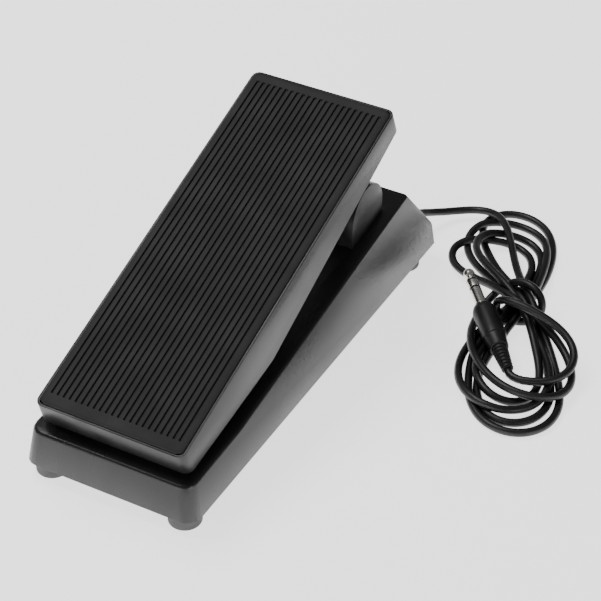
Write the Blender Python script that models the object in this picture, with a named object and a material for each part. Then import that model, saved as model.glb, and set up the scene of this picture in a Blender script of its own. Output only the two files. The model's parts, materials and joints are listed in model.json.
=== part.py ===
"""Rocker pedal with a fixed cord and plug, built as separate named pieces.

Metres, +Z up.  The heel end is at -Y, the toe end at +Y.  The floor is z = 0
and the middle of the base outline is the origin.
"""
import math

import bmesh
import bpy
from mathutils import Matrix, Vector

# ---------------------------------------------------------------- overall sizes
BASE_LENGTH = 0.2605
BASE_WIDTH = 0.0975          # at the bottom edge
BASE_DRAFT = 0.15            # each side leans in this much per unit of height
BASE_WALL = 0.0028
HEEL_DRAFT = 0.0026          # heel wall leans in by this much at its top
HEEL_HEIGHT = 0.0200
SHELF_LENGTH = 0.0500        # nearly level part of the top, from the heel
SHELF_HEIGHT = 0.0213
CREST_BACK = 0.0235          # crest of the wedge, measured from the toe end
CREST_HEIGHT = 0.0447
HEEL_CORNER = 0.0075
EDGE_ROUND = 0.0016

FOOT_RADIUS = 0.0085
FOOT_BEVEL = 0.0007
FOOT_DROP = 0.0080           # base bottom above the floor
FOOT_INSET = 0.01075         # foot centre in from the bottom edge at the side
FOOT_X = BASE_WIDTH / 2 - FOOT_INSET
FOOT_FROM_HEEL = 0.0100
FOOT_FROM_TOE = 0.0160

TREADLE_LENGTH = BASE_LENGTH - 0.0339
TREADLE_WIDTH = BASE_WIDTH - 0.0142   # at the top edge
TREADLE_DRAFT = 0.05
TREADLE_WALL = 0.0030
TREADLE_CORNER = 0.0042
TREADLE_TILT = math.radians(18.23)
PIVOT_FROM_HEEL = 0.0800     # along the treadle
PIVOT_DEPTH = 0.0200         # axle centre below the treadle top plane
PIVOT_Y = 0.0863             # from the heel end of the base
PIVOT_Z = 0.0427             # above the base bottom
SKIRT_HEEL = 0.0140
SKIRT_PIVOT = 0.0255
SKIRT_TOE = 0.0120
SKIRT_BEND = 0.0050          # half the length of the eased bend under the axle
SKIRT_EASE = 0.0005
CROSS_RIBS = (-0.0400, 0.0400, 0.0650)
CROSS_RIB_HALF = 0.0009
CROSS_RIB_DEPTH = 0.0040
LUG_HALF_LENGTH = 0.0110
TOP_SKIN = 0.0045            # treadle top plane down to its inner ceiling
MAT_RECESS = 0.0020
MAT_RIM = 0.0012
MAT_STAND = 0.0009           # mat above the rim
GROOVES = 22
GROOVE_PITCH = 0.00342
GROOVE_WIDTH = 0.0017
GROOVE_DEPTH = 0.0010
GROOVE_HEEL_MARGIN = 0.0068
GROOVE_TOE_MARGIN = 0.0052

GAP = 0.0003                 # between pieces that sit next to each other
OVERRUN = 0.0010             # how far a cutting solid runs past the face it cuts
SUNK = 0.0015                # how deep an added block stands in the wall under it

# ---------------------------------------------------------------- pivot
AXLE_RADIUS = 0.0030
AXLE_REACH = TREADLE_WIDTH / 2 - TREADLE_WALL - 0.00165
EAR_THICKNESS = 0.0060
EAR_RADIUS = 0.0080
EAR_SPREAD = 0.0175
BUSHING_WALL = 0.0009
WASHER_THICKNESS = 0.0007
WASHER_RADIUS = 0.0068
LUG_THICKNESS = 0.0050
LUG_RADIUS = 0.0055
CLIP_THICKNESS = 0.0008
CLIP_RADIUS = 0.0052
CLIP_MOUTH = 40              # degrees from the middle of the opening to its side
AXLE_CHAMFER = 0.0004
CLIP_SETBACK = 0.0027        # outer face of the lug to the axle's end
LUG_OUTER = AXLE_REACH - CLIP_SETBACK
LUG_INNER = LUG_OUTER - LUG_THICKNESS
EAR_OUTER = LUG_INNER - WASHER_THICKNESS - 2 * GAP
EAR_INNER = EAR_OUTER - EAR_THICKNESS

# ---------------------------------------------------------------- pedal gear
GEAR_MODULE = 0.0010
SECTOR_FULL_TEETH = 224
PINION_TEETH = 11
POT_ANGLE = math.radians(3.8)  # line from the axle up to the pinion centre
TOOTH_HALF = 0.00062
TOOTH_TOP_HALF = 0.00034
ROOT_WIDENING = 1.45         # tooth at its root against its pitch circle
ADDENDUM = 0.00080
DEDENDUM = 0.00125
SECTOR_LEFT = 0.0060
SECTOR_THICKNESS = 0.0048
SECTOR_TEETH = 13
SECTOR_SPARE = 2.5           # tooth pitches below the mesh point at rest
SECTOR_BACKING = 0.0085      # web between the tooth roots and the inner edge
SECTOR_SHOULDER = (0.0935, 0.0060)   # end of the toothed rim: along, below the shelf
SECTOR_SHELF = (0.0915, 0.0735)      # flat that meets the rib, from and to
SECTOR_HEEL_EDGE = [(0.0735, 0.0050), (0.0880, -0.0040), (0.0980, -0.0160)]
SECTOR_SCREWS = ((0.0765, 0.0095), (0.0890, 0.0095))
RIB_THICKNESS = 0.0050
RIB_HEEL = 0.0700
RIB_TOE = 0.0960
RIB_BOTTOM = 0.0030
PINION_LEFT = 0.0056
PINION_THICKNESS = 0.0054
SHAFT_RADIUS = 0.0027
SHAFT_STICK_OUT = 0.0010     # past the pinion
SHAFT_IN_CAN = 0.0080
SHAFT_FLAT = 0.0018          # flat on the shaft, from its axis
NUT_RADIUS = 0.0060
NUT_HEIGHT = 0.0018
POT_WASHER = (0.0056, 0.0006)    # radius and thickness

# ---------------------------------------------------------------- towers
TOWER_INNER = 0.0150
TOWER_OUTER = TREADLE_WIDTH / 2 - TREADLE_WALL - 0.00365
TOWER_RADIUS = 0.0170
TOWER_WALL = 0.0025
TOWER_OPENING = 0.0060       # the tower's inside runs this far down past the base skin
SLOT_LEFT = 0.0040
SLOT_RIGHT = 0.0130
SLOT_BACK = 0.0260           # slot start, towards the heel from the pinion centre
SLOT_FRONT = 0.0004
SLOT_FROM = 0.0250           # heights between which the slot is cut
SLOT_TO = 0.0470
POT_BUSHING = 0.0036
POT_CAN = 0.0090
POT_CAN_LENGTH = 0.0105
TERMINAL_DROP = 0.0040       # solder legs below the can
TERMINAL_PITCH = 0.0050
TERMINAL_HALF = 0.0008
TERMINAL_THICKNESS = 0.0008
TERMINAL_SET = 0.0016        # leg face from the front of the can
TERMINAL_ROOT = 0.0045       # how far a leg reaches up inside the can

# ---------------------------------------------------------------- stops
HEEL_STOP_X = 0.0250
HEEL_STOP_Y = 0.0200
HEEL_SEAT_HEIGHT = 0.0230
HEEL_SEAT_LEDGE = 0.0010     # seat radius past the pad
PAD_EDGE = 0.0006            # bevel round a heel pad
HEEL_PAD_RADIUS = 0.0060
HEEL_PAD_HEIGHT = 0.0045
HEEL_POST_RADIUS = 0.0045
HEEL_POST_LENGTH = 0.0100
TOE_PAD_THICKNESS = 0.0015
TOE_PAD_LENGTH = 0.0160
TOE_PAD_WIDTH = 0.0120
TOE_PAD_CORNER = 0.0020

# ---------------------------------------------------------------- fasteners
SCREW_RADIUS = 0.0014
SCREW_HOLE = SCREW_RADIUS + GAP
SCREW_HEAD = 0.0031
COLUMN_RADIUS = 0.0040
PLATE_THICKNESS = 0.0020
PLATE_LIFT = 0.0002
COLUMN_HEIGHT = 0.0165
COLUMN_BORE = 0.0130
WEB_HALF = 0.0012            # half the thickness of the web beside a screw column
SCREW_CHAMFER = 0.0008
FOOT_RECESS = 0.0056         # depth of the screw head inside a foot
FOOT_SCREW = (0.0145, 0.0019)    # shank length and head height
BOARD_SCREW = (0.0075, 0.0016)
SECTOR_SCREW = (0.0095, 0.0014)
RECESS_HALF = 0.0004         # half the width of the cross recess

# ---------------------------------------------------------------- electronics
BOARD_Y = 0.1450
BOARD_LENGTH = 0.0360
BOARD_WIDTH = 0.0300
BOARD_Z = 0.0160
BOARD_THICKNESS = 0.0016
BOARD_SCREW_Y = 0.0130
BOARD_POST_RADIUS = 0.0034
BOARD_BORE = 0.0085
BOARD_CORNER = 0.0020
BLOCK_LEFT = 0.0045
BLOCK_RIGHT = 0.0135
BLOCK_LENGTH = 0.0100
BLOCK_TOP = 0.0075
BLOCK_SETBACK = 0.0040       # block face from the toe edge of the board
BLOCK_CORNER = 0.0005

# ---------------------------------------------------------------- cord and plug
CORD_RADIUS = 0.0022
CORD_EXIT_X = BASE_WIDTH / 2 - 0.01775
RELIEF_NECK = CORD_RADIUS + 0.0012
RELIEF_FLANGE = CORD_RADIUS + 0.0028
CORD_EXIT_Z = RELIEF_FLANGE + 0.0035    # the flange stands clear of the bottom plate
TOE_WALL_HEIGHT = CORD_EXIT_Z + RELIEF_FLANGE + 0.0005   # and below the sloping toe
RELIEF_LENGTH = 0.0095
RELIEF_FLANGE_END = 0.0018   # outer flange, from the toe wall
RELIEF_TAPER_START = 0.0024
RELIEF_INNER_FLANGE = 0.0020
RELIEF_TAIL = CORD_RADIUS + 0.0009
LEAD_CAP = 0.0030            # inner flange of the relief and its gap to the wall
WIRE_BUNDLE = 0.0011
HANK_BOTTOM = 0.0003
HANK_TOP = 0.0125
TOE_CORNER = Vector((BASE_WIDTH / 2, BASE_LENGTH / 2, 0.0))   # the cord lies beside this corner
PLUG_TIP_AT = TOE_CORNER + Vector((0.03045, -0.02205, 0.0144))
PLUG_AIM = Vector((0.6475, -0.7585, -0.0700)).normalized()   # from the tip to the cord
PLUG_RADIUS = 0.0031750
PLUG_EXPOSED = 0.0305
SLIT = 0.0001                # between the contacts and their insulators
PIN_RADIUS = 0.0010          # the tip's pin inside the plug
PIN_REACH = 0.0040
BAND_LENGTH = 0.0012
RING_LENGTH = 0.0050
TIP_LENGTH = 0.0090
TIP_SHAPE = ((0.0012, 0.0002), (0.0026, 0.0020), (PLUG_RADIUS, 0.0038),
             (PLUG_RADIUS - SLIT, 0.0046), (0.0019, 0.0062), (0.0019, 0.0070),
             (PLUG_RADIUS - 2 * SLIT, 0.0084))
COLLAR_STEP = 0.0007
COLLAR_LENGTH = 0.0020
HANDLE_LENGTH = 0.0330
HANDLE_RADIUS = 0.0066
HANDLE_FRONT = ((0.0050, 0.0), (0.0056, 0.0008), (HANDLE_RADIUS, 0.0040))
HANDLE_BACK = ((HANDLE_RADIUS, 0.0090), (HANDLE_RADIUS - 0.0006, 0.0080), (0.0052, 0.0005),
               (0.0048, 0.0))   # radius, distance from the handle's end
FINS = 7
FIN_DEPTH = 0.0008
BOOT_LENGTH = 0.0160
BOOT_BIG = 0.0044
BOOT_SMALL = 0.0030
TAIL_LENGTH = 0.0110

ROUND = 20                   # sides of the small round pieces


# ================================================================ frame helpers
def along(from_heel):
    """Y of a place given by its distance from the heel end of the base."""
    return from_heel - BASE_LENGTH / 2


def above(from_bottom):
    """Z of a place given by its height over the base bottom."""
    return from_bottom + FOOT_DROP


PIVOT = Vector((0.0, along(PIVOT_Y), above(PIVOT_Z)))
CENTRE_DISTANCE = GEAR_MODULE * (SECTOR_FULL_TEETH + PINION_TEETH) / 2
POT = PIVOT + CENTRE_DISTANCE * Vector((0.0, math.cos(POT_ANGLE), math.sin(POT_ANGLE)))
TREADLE_FRAME = Matrix.Translation(PIVOT) @ Matrix.Rotation(TREADLE_TILT, 4, 'X')
TREADLE_HEEL = -PIVOT_FROM_HEEL
TREADLE_TOE = TREADLE_LENGTH - PIVOT_FROM_HEEL
CEILING = PIVOT_DEPTH - TOP_SKIN
AXLE_HOLE = AXLE_RADIUS + GAP


def base_top(from_heel):
    """Height of the base's upper face over its bottom, along the length."""
    if from_heel < SHELF_LENGTH:
        share = from_heel / SHELF_LENGTH
        return HEEL_HEIGHT + share * (SHELF_HEIGHT - HEEL_HEIGHT)
    run = BASE_LENGTH - CREST_BACK - SHELF_LENGTH
    share = (from_heel - SHELF_LENGTH) / run
    return SHELF_HEIGHT + share * (CREST_HEIGHT - SHELF_HEIGHT)


# ================================================================ build helpers
def arc(centre_a, centre_b, radius, start, stop, steps):
    """Points on an arc, angles in degrees."""
    points = []
    for i in range(steps + 1):
        angle = math.radians(start + (stop - start) * i / steps)
        points.append((centre_a + radius * math.cos(angle), centre_b + radius * math.sin(angle)))
    return points


def rounded_rectangle(a0, a1, b0, b1, radius, steps=4):
    points = arc(a1 - radius, b1 - radius, radius, 0, 90, steps)
    points += arc(a0 + radius, b1 - radius, radius, 90, 180, steps)
    points += arc(a0 + radius, b0 + radius, radius, 180, 270, steps)
    points += arc(a1 - radius, b0 + radius, radius, 270, 360, steps)
    return points


def place(axis, a, b, c):
    """Point with the outline pair (a, b) and the distance c along the axis."""
    if axis == 'X':
        return Vector((c, a, b))
    if axis == 'Y':
        return Vector((a, c, b))
    return Vector((a, b, c))


def extruded(points, axis, start, stop):
    """Closed solid: a flat outline pushed along an axis."""
    bm = bmesh.new()
    face = bm.faces.new([bm.verts.new(place(axis, a, b, start)) for a, b in points])
    pushed = bmesh.ops.extrude_face_region(bm, geom=[face])
    moved = [item for item in pushed['geom'] if isinstance(item, bmesh.types.BMVert)]
    bmesh.ops.translate(bm, verts=moved, vec=place(axis, 0.0, 0.0, stop - start))
    bmesh.ops.recalc_face_normals(bm, faces=bm.faces)
    return bm


def turned(profile, steps=ROUND):
    """Closed solid: a closed (radius, height) profile turned about Z."""
    bm = bmesh.new()
    verts = [bm.verts.new((radius, 0.0, height)) for radius, height in profile]
    edges = [bm.edges.new((verts[i], verts[(i + 1) % len(verts)])) for i in range(len(verts))]
    bmesh.ops.spin(bm, geom=verts + edges, cent=(0, 0, 0), axis=(0, 0, 1),
                   angle=math.tau, steps=steps, use_merge=True, use_duplicate=False)
    bmesh.ops.remove_doubles(bm, verts=bm.verts, dist=1e-6)
    bmesh.ops.dissolve_degenerate(bm, dist=1e-6, edges=bm.edges)
    loose = [edge for edge in bm.edges if not edge.link_faces]
    bmesh.ops.delete(bm, geom=loose, context='EDGES')
    bmesh.ops.recalc_face_normals(bm, faces=bm.faces)
    return bm


def moved_to(bm, matrix):
    bmesh.ops.transform(bm, matrix=matrix, verts=bm.verts)
    return bm


def axis_turn(axis):
    """Rotation that takes +Z onto the named axis."""
    if axis == 'X':
        return Matrix.Rotation(math.pi / 2, 4, 'Y')
    if axis == 'Y':
        return Matrix.Rotation(-math.pi / 2, 4, 'X')
    return Matrix.Identity(4)


def ring(axis, centre, inner, outer, start, stop, steps=ROUND):
    """Tube section about an axis through the centre, from start to stop along it."""
    bm = turned([(inner, start), (outer, start), (outer, stop), (inner, stop)], steps)
    return moved_to(bm, Matrix.Translation(centre) @ axis_turn(axis))


def rod(axis, centre, radius, start, stop, steps=ROUND):
    bm = turned([(0.0, start), (radius, start), (radius, stop), (0.0, stop)], steps)
    return moved_to(bm, Matrix.Translation(centre) @ axis_turn(axis))


def material(name, colour, roughness, metallic):
    made = bpy.data.materials.new(name)
    made.use_nodes = True
    shader = made.node_tree.nodes['Principled BSDF']
    shader.inputs['Base Color'].default_value = (*colour, 1.0)
    shader.inputs['Roughness'].default_value = roughness
    shader.inputs['Metallic'].default_value = metallic
    made.diffuse_color = (*colour, 1.0)
    return made


def add_piece(name, bm, look, matrix=None):
    """Link one finished piece; the mesh stays in the frame given by matrix."""
    mesh = bpy.data.meshes.new(name)
    bm.to_mesh(mesh)
    bm.free()
    obj = bpy.data.objects.new(name, mesh)
    colour, roughness, metallic = look
    mesh.materials.append(material(name, colour, roughness, metallic))
    home = bpy.data.collections.new(name)
    bpy.context.scene.collection.children.link(home)
    home.objects.link(obj)
    if matrix is not None:
        obj.matrix_world = matrix
    return obj


def combine(bm, tool, operation):
    """Union or difference of two solids with the exact solver; both are used up."""
    pair = []
    for part in (bm, tool):
        mesh = bpy.data.meshes.new('work')
        part.to_mesh(mesh)
        part.free()
        obj = bpy.data.objects.new('work', mesh)
        bpy.context.scene.collection.objects.link(obj)
        pair.append(obj)
    body, other = pair
    step = body.modifiers.new('step', 'BOOLEAN')
    step.operation = operation
    step.solver = 'EXACT'
    step.object = other
    graph = bpy.context.evaluated_depsgraph_get()
    made = bpy.data.meshes.new_from_object(body.evaluated_get(graph))
    out = bmesh.new()
    out.from_mesh(made)
    for obj in pair:
        used = obj.data
        bpy.data.objects.remove(obj)
        bpy.data.meshes.remove(used)
    bpy.data.meshes.remove(made)
    bmesh.ops.remove_doubles(out, verts=out.verts, dist=1e-7)
    return out


def joined(bm, *tools):
    for tool in tools:
        bm = combine(bm, tool, 'UNION')
    return bm


def less(bm, *tools):
    for tool in tools:
        bm = combine(bm, tool, 'DIFFERENCE')
    return bm


def both_sides(maker):
    """The same solid on the right and, mirrored, on the left."""
    right = maker(1.0)
    left = maker(-1.0)
    return right, left


# ================================================================ looks
DARK_SHELL = ((0.075, 0.078, 0.080), 0.50, 0.0)
DARK_TREADLE = ((0.090, 0.093, 0.094), 0.55, 0.0)
RUBBER = ((0.022, 0.024, 0.024), 0.85, 0.0)
FOOT_RUBBER = ((0.16, 0.16, 0.16), 0.80, 0.0)
STEEL = ((0.62, 0.62, 0.60), 0.30, 1.0)
BLACK_STEEL = ((0.05, 0.05, 0.05), 0.45, 0.8)
NICKEL = ((0.80, 0.78, 0.74), 0.18, 1.0)
NYLON = ((0.78, 0.77, 0.72), 0.45, 0.0)
ACETAL = ((0.80, 0.79, 0.76), 0.40, 0.0)
BOARD_LOOK = ((0.03, 0.14, 0.07), 0.45, 0.0)
POT_LOOK = ((0.45, 0.45, 0.44), 0.40, 0.6)
CORD_LOOK = ((0.030, 0.032, 0.033), 0.55, 0.0)
HANDLE_LOOK = ((0.020, 0.020, 0.021), 0.45, 0.0)
INSULATOR = ((0.010, 0.010, 0.010), 0.35, 0.0)


# ================================================================ base
def wedge_profile(inset):
    """Side outline of the base, brought in by the inset; (along, above) pairs."""
    low = -OVERRUN if inset else 0.0
    crest = BASE_LENGTH - CREST_BACK
    slope = math.atan2(CREST_HEIGHT - TOE_WALL_HEIGHT, CREST_BACK)
    facet_shift = inset / math.sin(slope)
    return [
        (inset, low),
        (BASE_LENGTH - inset, low),
        (BASE_LENGTH - inset, TOE_WALL_HEIGHT - inset * 0.35),
        (crest - facet_shift * 0.45, CREST_HEIGHT - inset),
        (SHELF_LENGTH, SHELF_HEIGHT - inset),
        (HEEL_DRAFT + inset, HEEL_HEIGHT - inset),
    ]


def wedge(inset):
    """Wedge block whose sides lean in with height."""
    outline = [(along(a), above(b)) for a, b in wedge_profile(inset)]
    bm = extruded(outline, 'X', -1.0, 1.0)
    for vert in bm.verts:
        half = BASE_WIDTH / 2 - inset - BASE_DRAFT * (vert.co.z - FOOT_DROP)
        vert.co.x = math.copysign(half, vert.co.x)
    return bm


def heel_corner_edges(bm):
    found = []
    for edge in bm.edges:
        a, b = edge.verts
        upright = abs(a.co.z - b.co.z) > 0.005
        at_heel = max(a.co.y, b.co.y) < along(0.010)
        if upright and at_heel:
            found.append(edge)
    return found


def upper_rim_edges(bm):
    """Edges between the upper faces and the walls."""
    found = []
    for edge in bm.edges:
        if len(edge.link_faces) != 2:
            continue
        tilts = sorted(face.normal.z for face in edge.link_faces)
        if tilts[0] < 0.4 and tilts[0] > -0.2 and tilts[1] > 0.45:
            found.append(edge)
    return found


def base_block():
    bm = wedge(0.0)
    bmesh.ops.bevel(bm, geom=heel_corner_edges(bm), offset=HEEL_CORNER, offset_type='OFFSET',
                    segments=4, profile=0.5, affect='EDGES')
    bm.normal_update()
    bmesh.ops.bevel(bm, geom=upper_rim_edges(bm), offset=EDGE_ROUND, offset_type='OFFSET',
                    segments=2, profile=0.5, affect='EDGES')
    return bm


def base_hollow():
    bm = wedge(BASE_WALL)
    bmesh.ops.bevel(bm, geom=heel_corner_edges(bm), offset=HEEL_CORNER - BASE_WALL,
                    offset_type='OFFSET', segments=3, profile=0.5, affect='EDGES')
    return bm


def ear(side):
    """Upright plate on the base that carries the axle on one side."""
    outline = [(PIVOT.y - EAR_SPREAD, above(base_top(PIVOT_Y - EAR_SPREAD) - SUNK)),
               (PIVOT.y + EAR_SPREAD, above(base_top(PIVOT_Y + EAR_SPREAD) - SUNK))]
    outline += arc(PIVOT.y, PIVOT.z, EAR_RADIUS, 0, 180, 12)
    return extruded(outline, 'X', side * EAR_INNER, side * EAR_OUTER)


def tower_outline(radius, foot):
    """Round-topped outline about the pinion centre, standing foot deep in the base."""
    heel_side = POT.y - radius
    toe_side = POT.y + radius
    deepest = above(base_top(heel_side + BASE_LENGTH / 2) - foot)
    outline = [(heel_side, deepest), (toe_side, deepest)]
    outline += arc(POT.y, POT.z, radius, 0, 180, 16)
    return outline


def tower(side):
    return extruded(tower_outline(TOWER_RADIUS, SUNK), 'X',
                    side * TOWER_INNER, side * TOWER_OUTER)


def tower_hollow(side):
    return extruded(tower_outline(TOWER_RADIUS - TOWER_WALL, BASE_WALL + TOWER_OPENING), 'X',
                    side * (TOWER_INNER + TOWER_WALL), side * (TOWER_OUTER - TOWER_WALL))


def sector_slot():
    return extruded([(SLOT_LEFT, POT.y - SLOT_BACK), (SLOT_RIGHT, POT.y - SLOT_BACK),
                     (SLOT_RIGHT, POT.y - SLOT_FRONT), (SLOT_LEFT, POT.y - SLOT_FRONT)],
                    'Z', above(SLOT_FROM), above(SLOT_TO))


def foot_places():
    heel = along(FOOT_FROM_HEEL)
    toe = along(BASE_LENGTH - FOOT_FROM_TOE)
    return [('heel_left', -FOOT_X, heel), ('heel_right', FOOT_X, heel),
            ('toe_left', -FOOT_X, toe), ('toe_right', FOOT_X, toe)]


COLUMN_BOTTOM = PLATE_LIFT + PLATE_THICKNESS + GAP


def screw_column(x, y):
    """Screw column with a web to the side wall."""
    column = rod('Z', Vector((x, y, 0.0)), COLUMN_RADIUS, above(COLUMN_BOTTOM),
                 above(COLUMN_HEIGHT), 16)
    web_end = BASE_WIDTH / 2 - BASE_DRAFT * COLUMN_HEIGHT - BASE_WALL / 4
    web_top = COLUMN_HEIGHT - WEB_HALF / 2
    side = math.copysign(1.0, x)
    web = extruded([(y - WEB_HALF, above(COLUMN_BOTTOM)), (y + WEB_HALF, above(COLUMN_BOTTOM)),
                    (y + WEB_HALF, above(web_top)), (y - WEB_HALF, above(web_top))],
                   'X', x, side * web_end)
    return joined(column, web)


def screw_bore(x, y):
    return rod('Z', Vector((x, y, 0.0)), SCREW_HOLE, above(-OVERRUN), above(COLUMN_BORE), 14)


def heel_seat(side):
    return rod('Z', Vector((side * HEEL_STOP_X, along(HEEL_STOP_Y), 0.0)), HEEL_PAD_RADIUS + HEEL_SEAT_LEDGE,
               above(HEEL_HEIGHT - SUNK), above(HEEL_SEAT_HEIGHT), 24)


def board_post(step):
    y = along(BOARD_Y) + step * BOARD_SCREW_Y
    bottom = BOARD_Z + BOARD_THICKNESS + GAP
    roof = base_top(y + BASE_LENGTH / 2) - BASE_WALL / 2
    return rod('Z', Vector((0.0, y, 0.0)), BOARD_POST_RADIUS, above(bottom), above(roof), 16)


def board_bore(step):
    y = along(BOARD_Y) + step * BOARD_SCREW_Y
    return rod('Z', Vector((0.0, y, 0.0)), SCREW_HOLE, above(BOARD_Z), above(BOARD_Z + BOARD_BORE), 14)


def cord_hole():
    centre = Vector((CORD_EXIT_X, 0.0, above(CORD_EXIT_Z)))
    return rod('Y', centre, RELIEF_NECK + GAP, along(BASE_LENGTH - BASE_WALL - OVERRUN),
               along(BASE_LENGTH + OVERRUN), 24)


def make_base_shell():
    bm = less(base_block(), base_hollow())
    bm = joined(bm, *both_sides(ear), *both_sides(tower), *both_sides(heel_seat))
    bm = less(bm, *both_sides(tower_hollow))
    for _, x, y in foot_places():
        bm = joined(bm, screw_column(x, y))
        bm = less(bm, screw_bore(x, y))
    for step in (-1, 1):
        bm = joined(bm, board_post(step))
        bm = less(bm, board_bore(step))
    bore = rod('X', PIVOT, AXLE_RADIUS + 2 * GAP + BUSHING_WALL, -EAR_OUTER - OVERRUN,
               EAR_OUTER + OVERRUN, 24)
    pot_hole = rod('X', POT, POT_BUSHING + GAP, TOWER_INNER - OVERRUN,
                   TOWER_INNER + TOWER_WALL + OVERRUN, 20)
    bm = less(bm, bore, pot_hole, sector_slot(), cord_hole())
    add_piece('base_shell', bm, DARK_SHELL)


def make_bottom_plate():
    half = BASE_WIDTH / 2 - BASE_WALL - BASE_DRAFT * (PLATE_LIFT + PLATE_THICKNESS) - 2 * GAP
    heel = along(BASE_WALL + 2 * GAP)
    toe = along(BASE_LENGTH - BASE_WALL - 2 * GAP)
    outline = rounded_rectangle(-half, half, heel, toe, HEEL_CORNER - BASE_WALL + GAP)
    bm = extruded(outline, 'Z', above(PLATE_LIFT), above(PLATE_LIFT + PLATE_THICKNESS))
    for _, x, y in foot_places():
        bm = less(bm, rod('Z', Vector((x, y, 0.0)), SCREW_HOLE, 0.0,
                           above(PLATE_LIFT + PLATE_THICKNESS + OVERRUN), 14))
    add_piece('bottom_plate', bm, BLACK_STEEL)


def make_feet():
    top = FOOT_DROP + PLATE_LIFT - GAP
    for name, x, y in foot_places():
        profile = [(SCREW_HOLE, FOOT_RECESS), (SCREW_HEAD + GAP, FOOT_RECESS),
                   (SCREW_HEAD + GAP, 0.0), (FOOT_RADIUS - FOOT_BEVEL, 0.0),
                   (FOOT_RADIUS, FOOT_BEVEL), (FOOT_RADIUS, top - FOOT_BEVEL / 2),
                   (FOOT_RADIUS - FOOT_BEVEL / 2, top), (SCREW_HOLE, top)]
        bm = turned(profile, 28)
        add_piece('foot_' + name, bm, FOOT_RUBBER, Matrix.Translation((x, y, 0.0)))
        make_screw('foot_screw_' + name, Matrix.Translation((x, y, FOOT_RECESS - GAP)), *FOOT_SCREW)


def make_screw(name, frame, shank, head):
    """Pan-head screw: the origin is under the head and the shank goes along the frame's +Z."""
    profile = [(0.0, shank), (SCREW_RADIUS * 0.6, shank), (SCREW_RADIUS, shank - SCREW_CHAMFER),
               (SCREW_RADIUS, 0.0), (SCREW_HEAD, 0.0), (SCREW_HEAD, -head * 0.55),
               (SCREW_HEAD * 0.72, -head), (0.0, -head)]
    bm = less(turned(profile, 16), *cross_recess(head))
    add_piece(name, bm, STEEL, frame)


def cross_recess(head):
    """Two crossed bars that cut the drive recess into a screw head."""
    arm = SCREW_HEAD * 0.62
    deep = -head * 0.45
    bars = []
    for a, b in ((arm, RECESS_HALF), (RECESS_HALF, arm)):
        bars.append(extruded([(-a, -b), (a, -b), (a, b), (-a, b)], 'Z', deep, -head - OVERRUN))
    return bars


# ================================================================ pivot
def make_pivot_hardware():
    bushing_inner = AXLE_HOLE
    bushing_outer = AXLE_HOLE + BUSHING_WALL
    sides = (('right', 1.0), ('left', -1.0))
    for label, side in sides:
        bm = ring('X', Vector(), bushing_inner, bushing_outer,
                  *sorted((side * EAR_INNER, side * EAR_OUTER)), 24)
        add_piece('pivot_bushing_' + label, bm, NYLON, Matrix.Translation(PIVOT))
        start = EAR_OUTER + GAP
        bm = ring('X', Vector(), AXLE_HOLE, WASHER_RADIUS,
                  *sorted((side * start, side * (start + WASHER_THICKNESS))), 24)
        add_piece('friction_washer_' + label, bm, NYLON, TREADLE_FRAME)
        make_clip('axle_clip_' + label, side)


def make_clip(name, side):
    """Open retaining ring on the end of the axle."""
    start = LUG_OUTER + GAP
    outline = arc(0.0, 0.0, CLIP_RADIUS, CLIP_MOUTH, 360 - CLIP_MOUTH, 16)
    outline += arc(0.0, 0.0, AXLE_HOLE, 355 - CLIP_MOUTH, CLIP_MOUTH + 5, 14)
    bm = extruded(outline, 'X', side * start, side * (start + CLIP_THICKNESS))
    add_piece(name, bm, BLACK_STEEL, TREADLE_FRAME)


def make_axle():
    end_radius = AXLE_RADIUS - AXLE_CHAMFER
    full_reach = AXLE_REACH - AXLE_CHAMFER
    bm = turned([(0.0, -AXLE_REACH), (end_radius, -AXLE_REACH), (AXLE_RADIUS, -full_reach),
                 (AXLE_RADIUS, full_reach), (end_radius, AXLE_REACH), (0.0, AXLE_REACH)], 24)
    moved_to(bm, axis_turn('X'))
    add_piece('pivot_axle', bm, STEEL, TREADLE_FRAME)


# ================================================================ treadle
def treadle_block():
    """Treadle side outline (along, up from the axle) pushed to width, sides leaning."""
    outline = [(TREADLE_HEEL, PIVOT_DEPTH - SKIRT_HEEL),
               (-SKIRT_BEND, PIVOT_DEPTH - SKIRT_PIVOT + SKIRT_EASE),
               (0.0, PIVOT_DEPTH - SKIRT_PIVOT),
               (SKIRT_BEND, PIVOT_DEPTH - SKIRT_PIVOT + SKIRT_EASE),
               (TREADLE_TOE, PIVOT_DEPTH - SKIRT_TOE),
               (TREADLE_TOE, PIVOT_DEPTH),
               (TREADLE_HEEL, PIVOT_DEPTH)]
    bm = extruded(outline, 'X', -1.0, 1.0)
    for vert in bm.verts:
        half = TREADLE_WIDTH / 2 + TREADLE_DRAFT * (PIVOT_DEPTH - vert.co.z)
        vert.co.x = math.copysign(half, vert.co.x)
    corners = []
    for edge in bm.edges:
        a, b = edge.verts
        upright = abs(a.co.z - b.co.z) > 0.005 and abs(a.co.y - b.co.y) < 0.001
        if upright:
            corners.append(edge)
    bmesh.ops.bevel(bm, geom=corners, offset=TREADLE_CORNER, offset_type='OFFSET',
                    segments=4, profile=0.5, affect='EDGES')
    return bm


def treadle_hollow():
    half = TREADLE_WIDTH / 2 - TREADLE_WALL
    outline = rounded_rectangle(-half, half, TREADLE_HEEL + TREADLE_WALL,
                                TREADLE_TOE - TREADLE_WALL, TREADLE_CORNER - TREADLE_WALL)
    return extruded(outline, 'Z', PIVOT_DEPTH - 2 * SKIRT_PIVOT, CEILING)


def mat_outline(shrink):
    half = TREADLE_WIDTH / 2 - MAT_RIM - shrink
    return rounded_rectangle(-half, half, TREADLE_HEEL + MAT_RIM + shrink,
                             TREADLE_TOE - MAT_RIM - shrink, TREADLE_CORNER - MAT_RIM)


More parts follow.
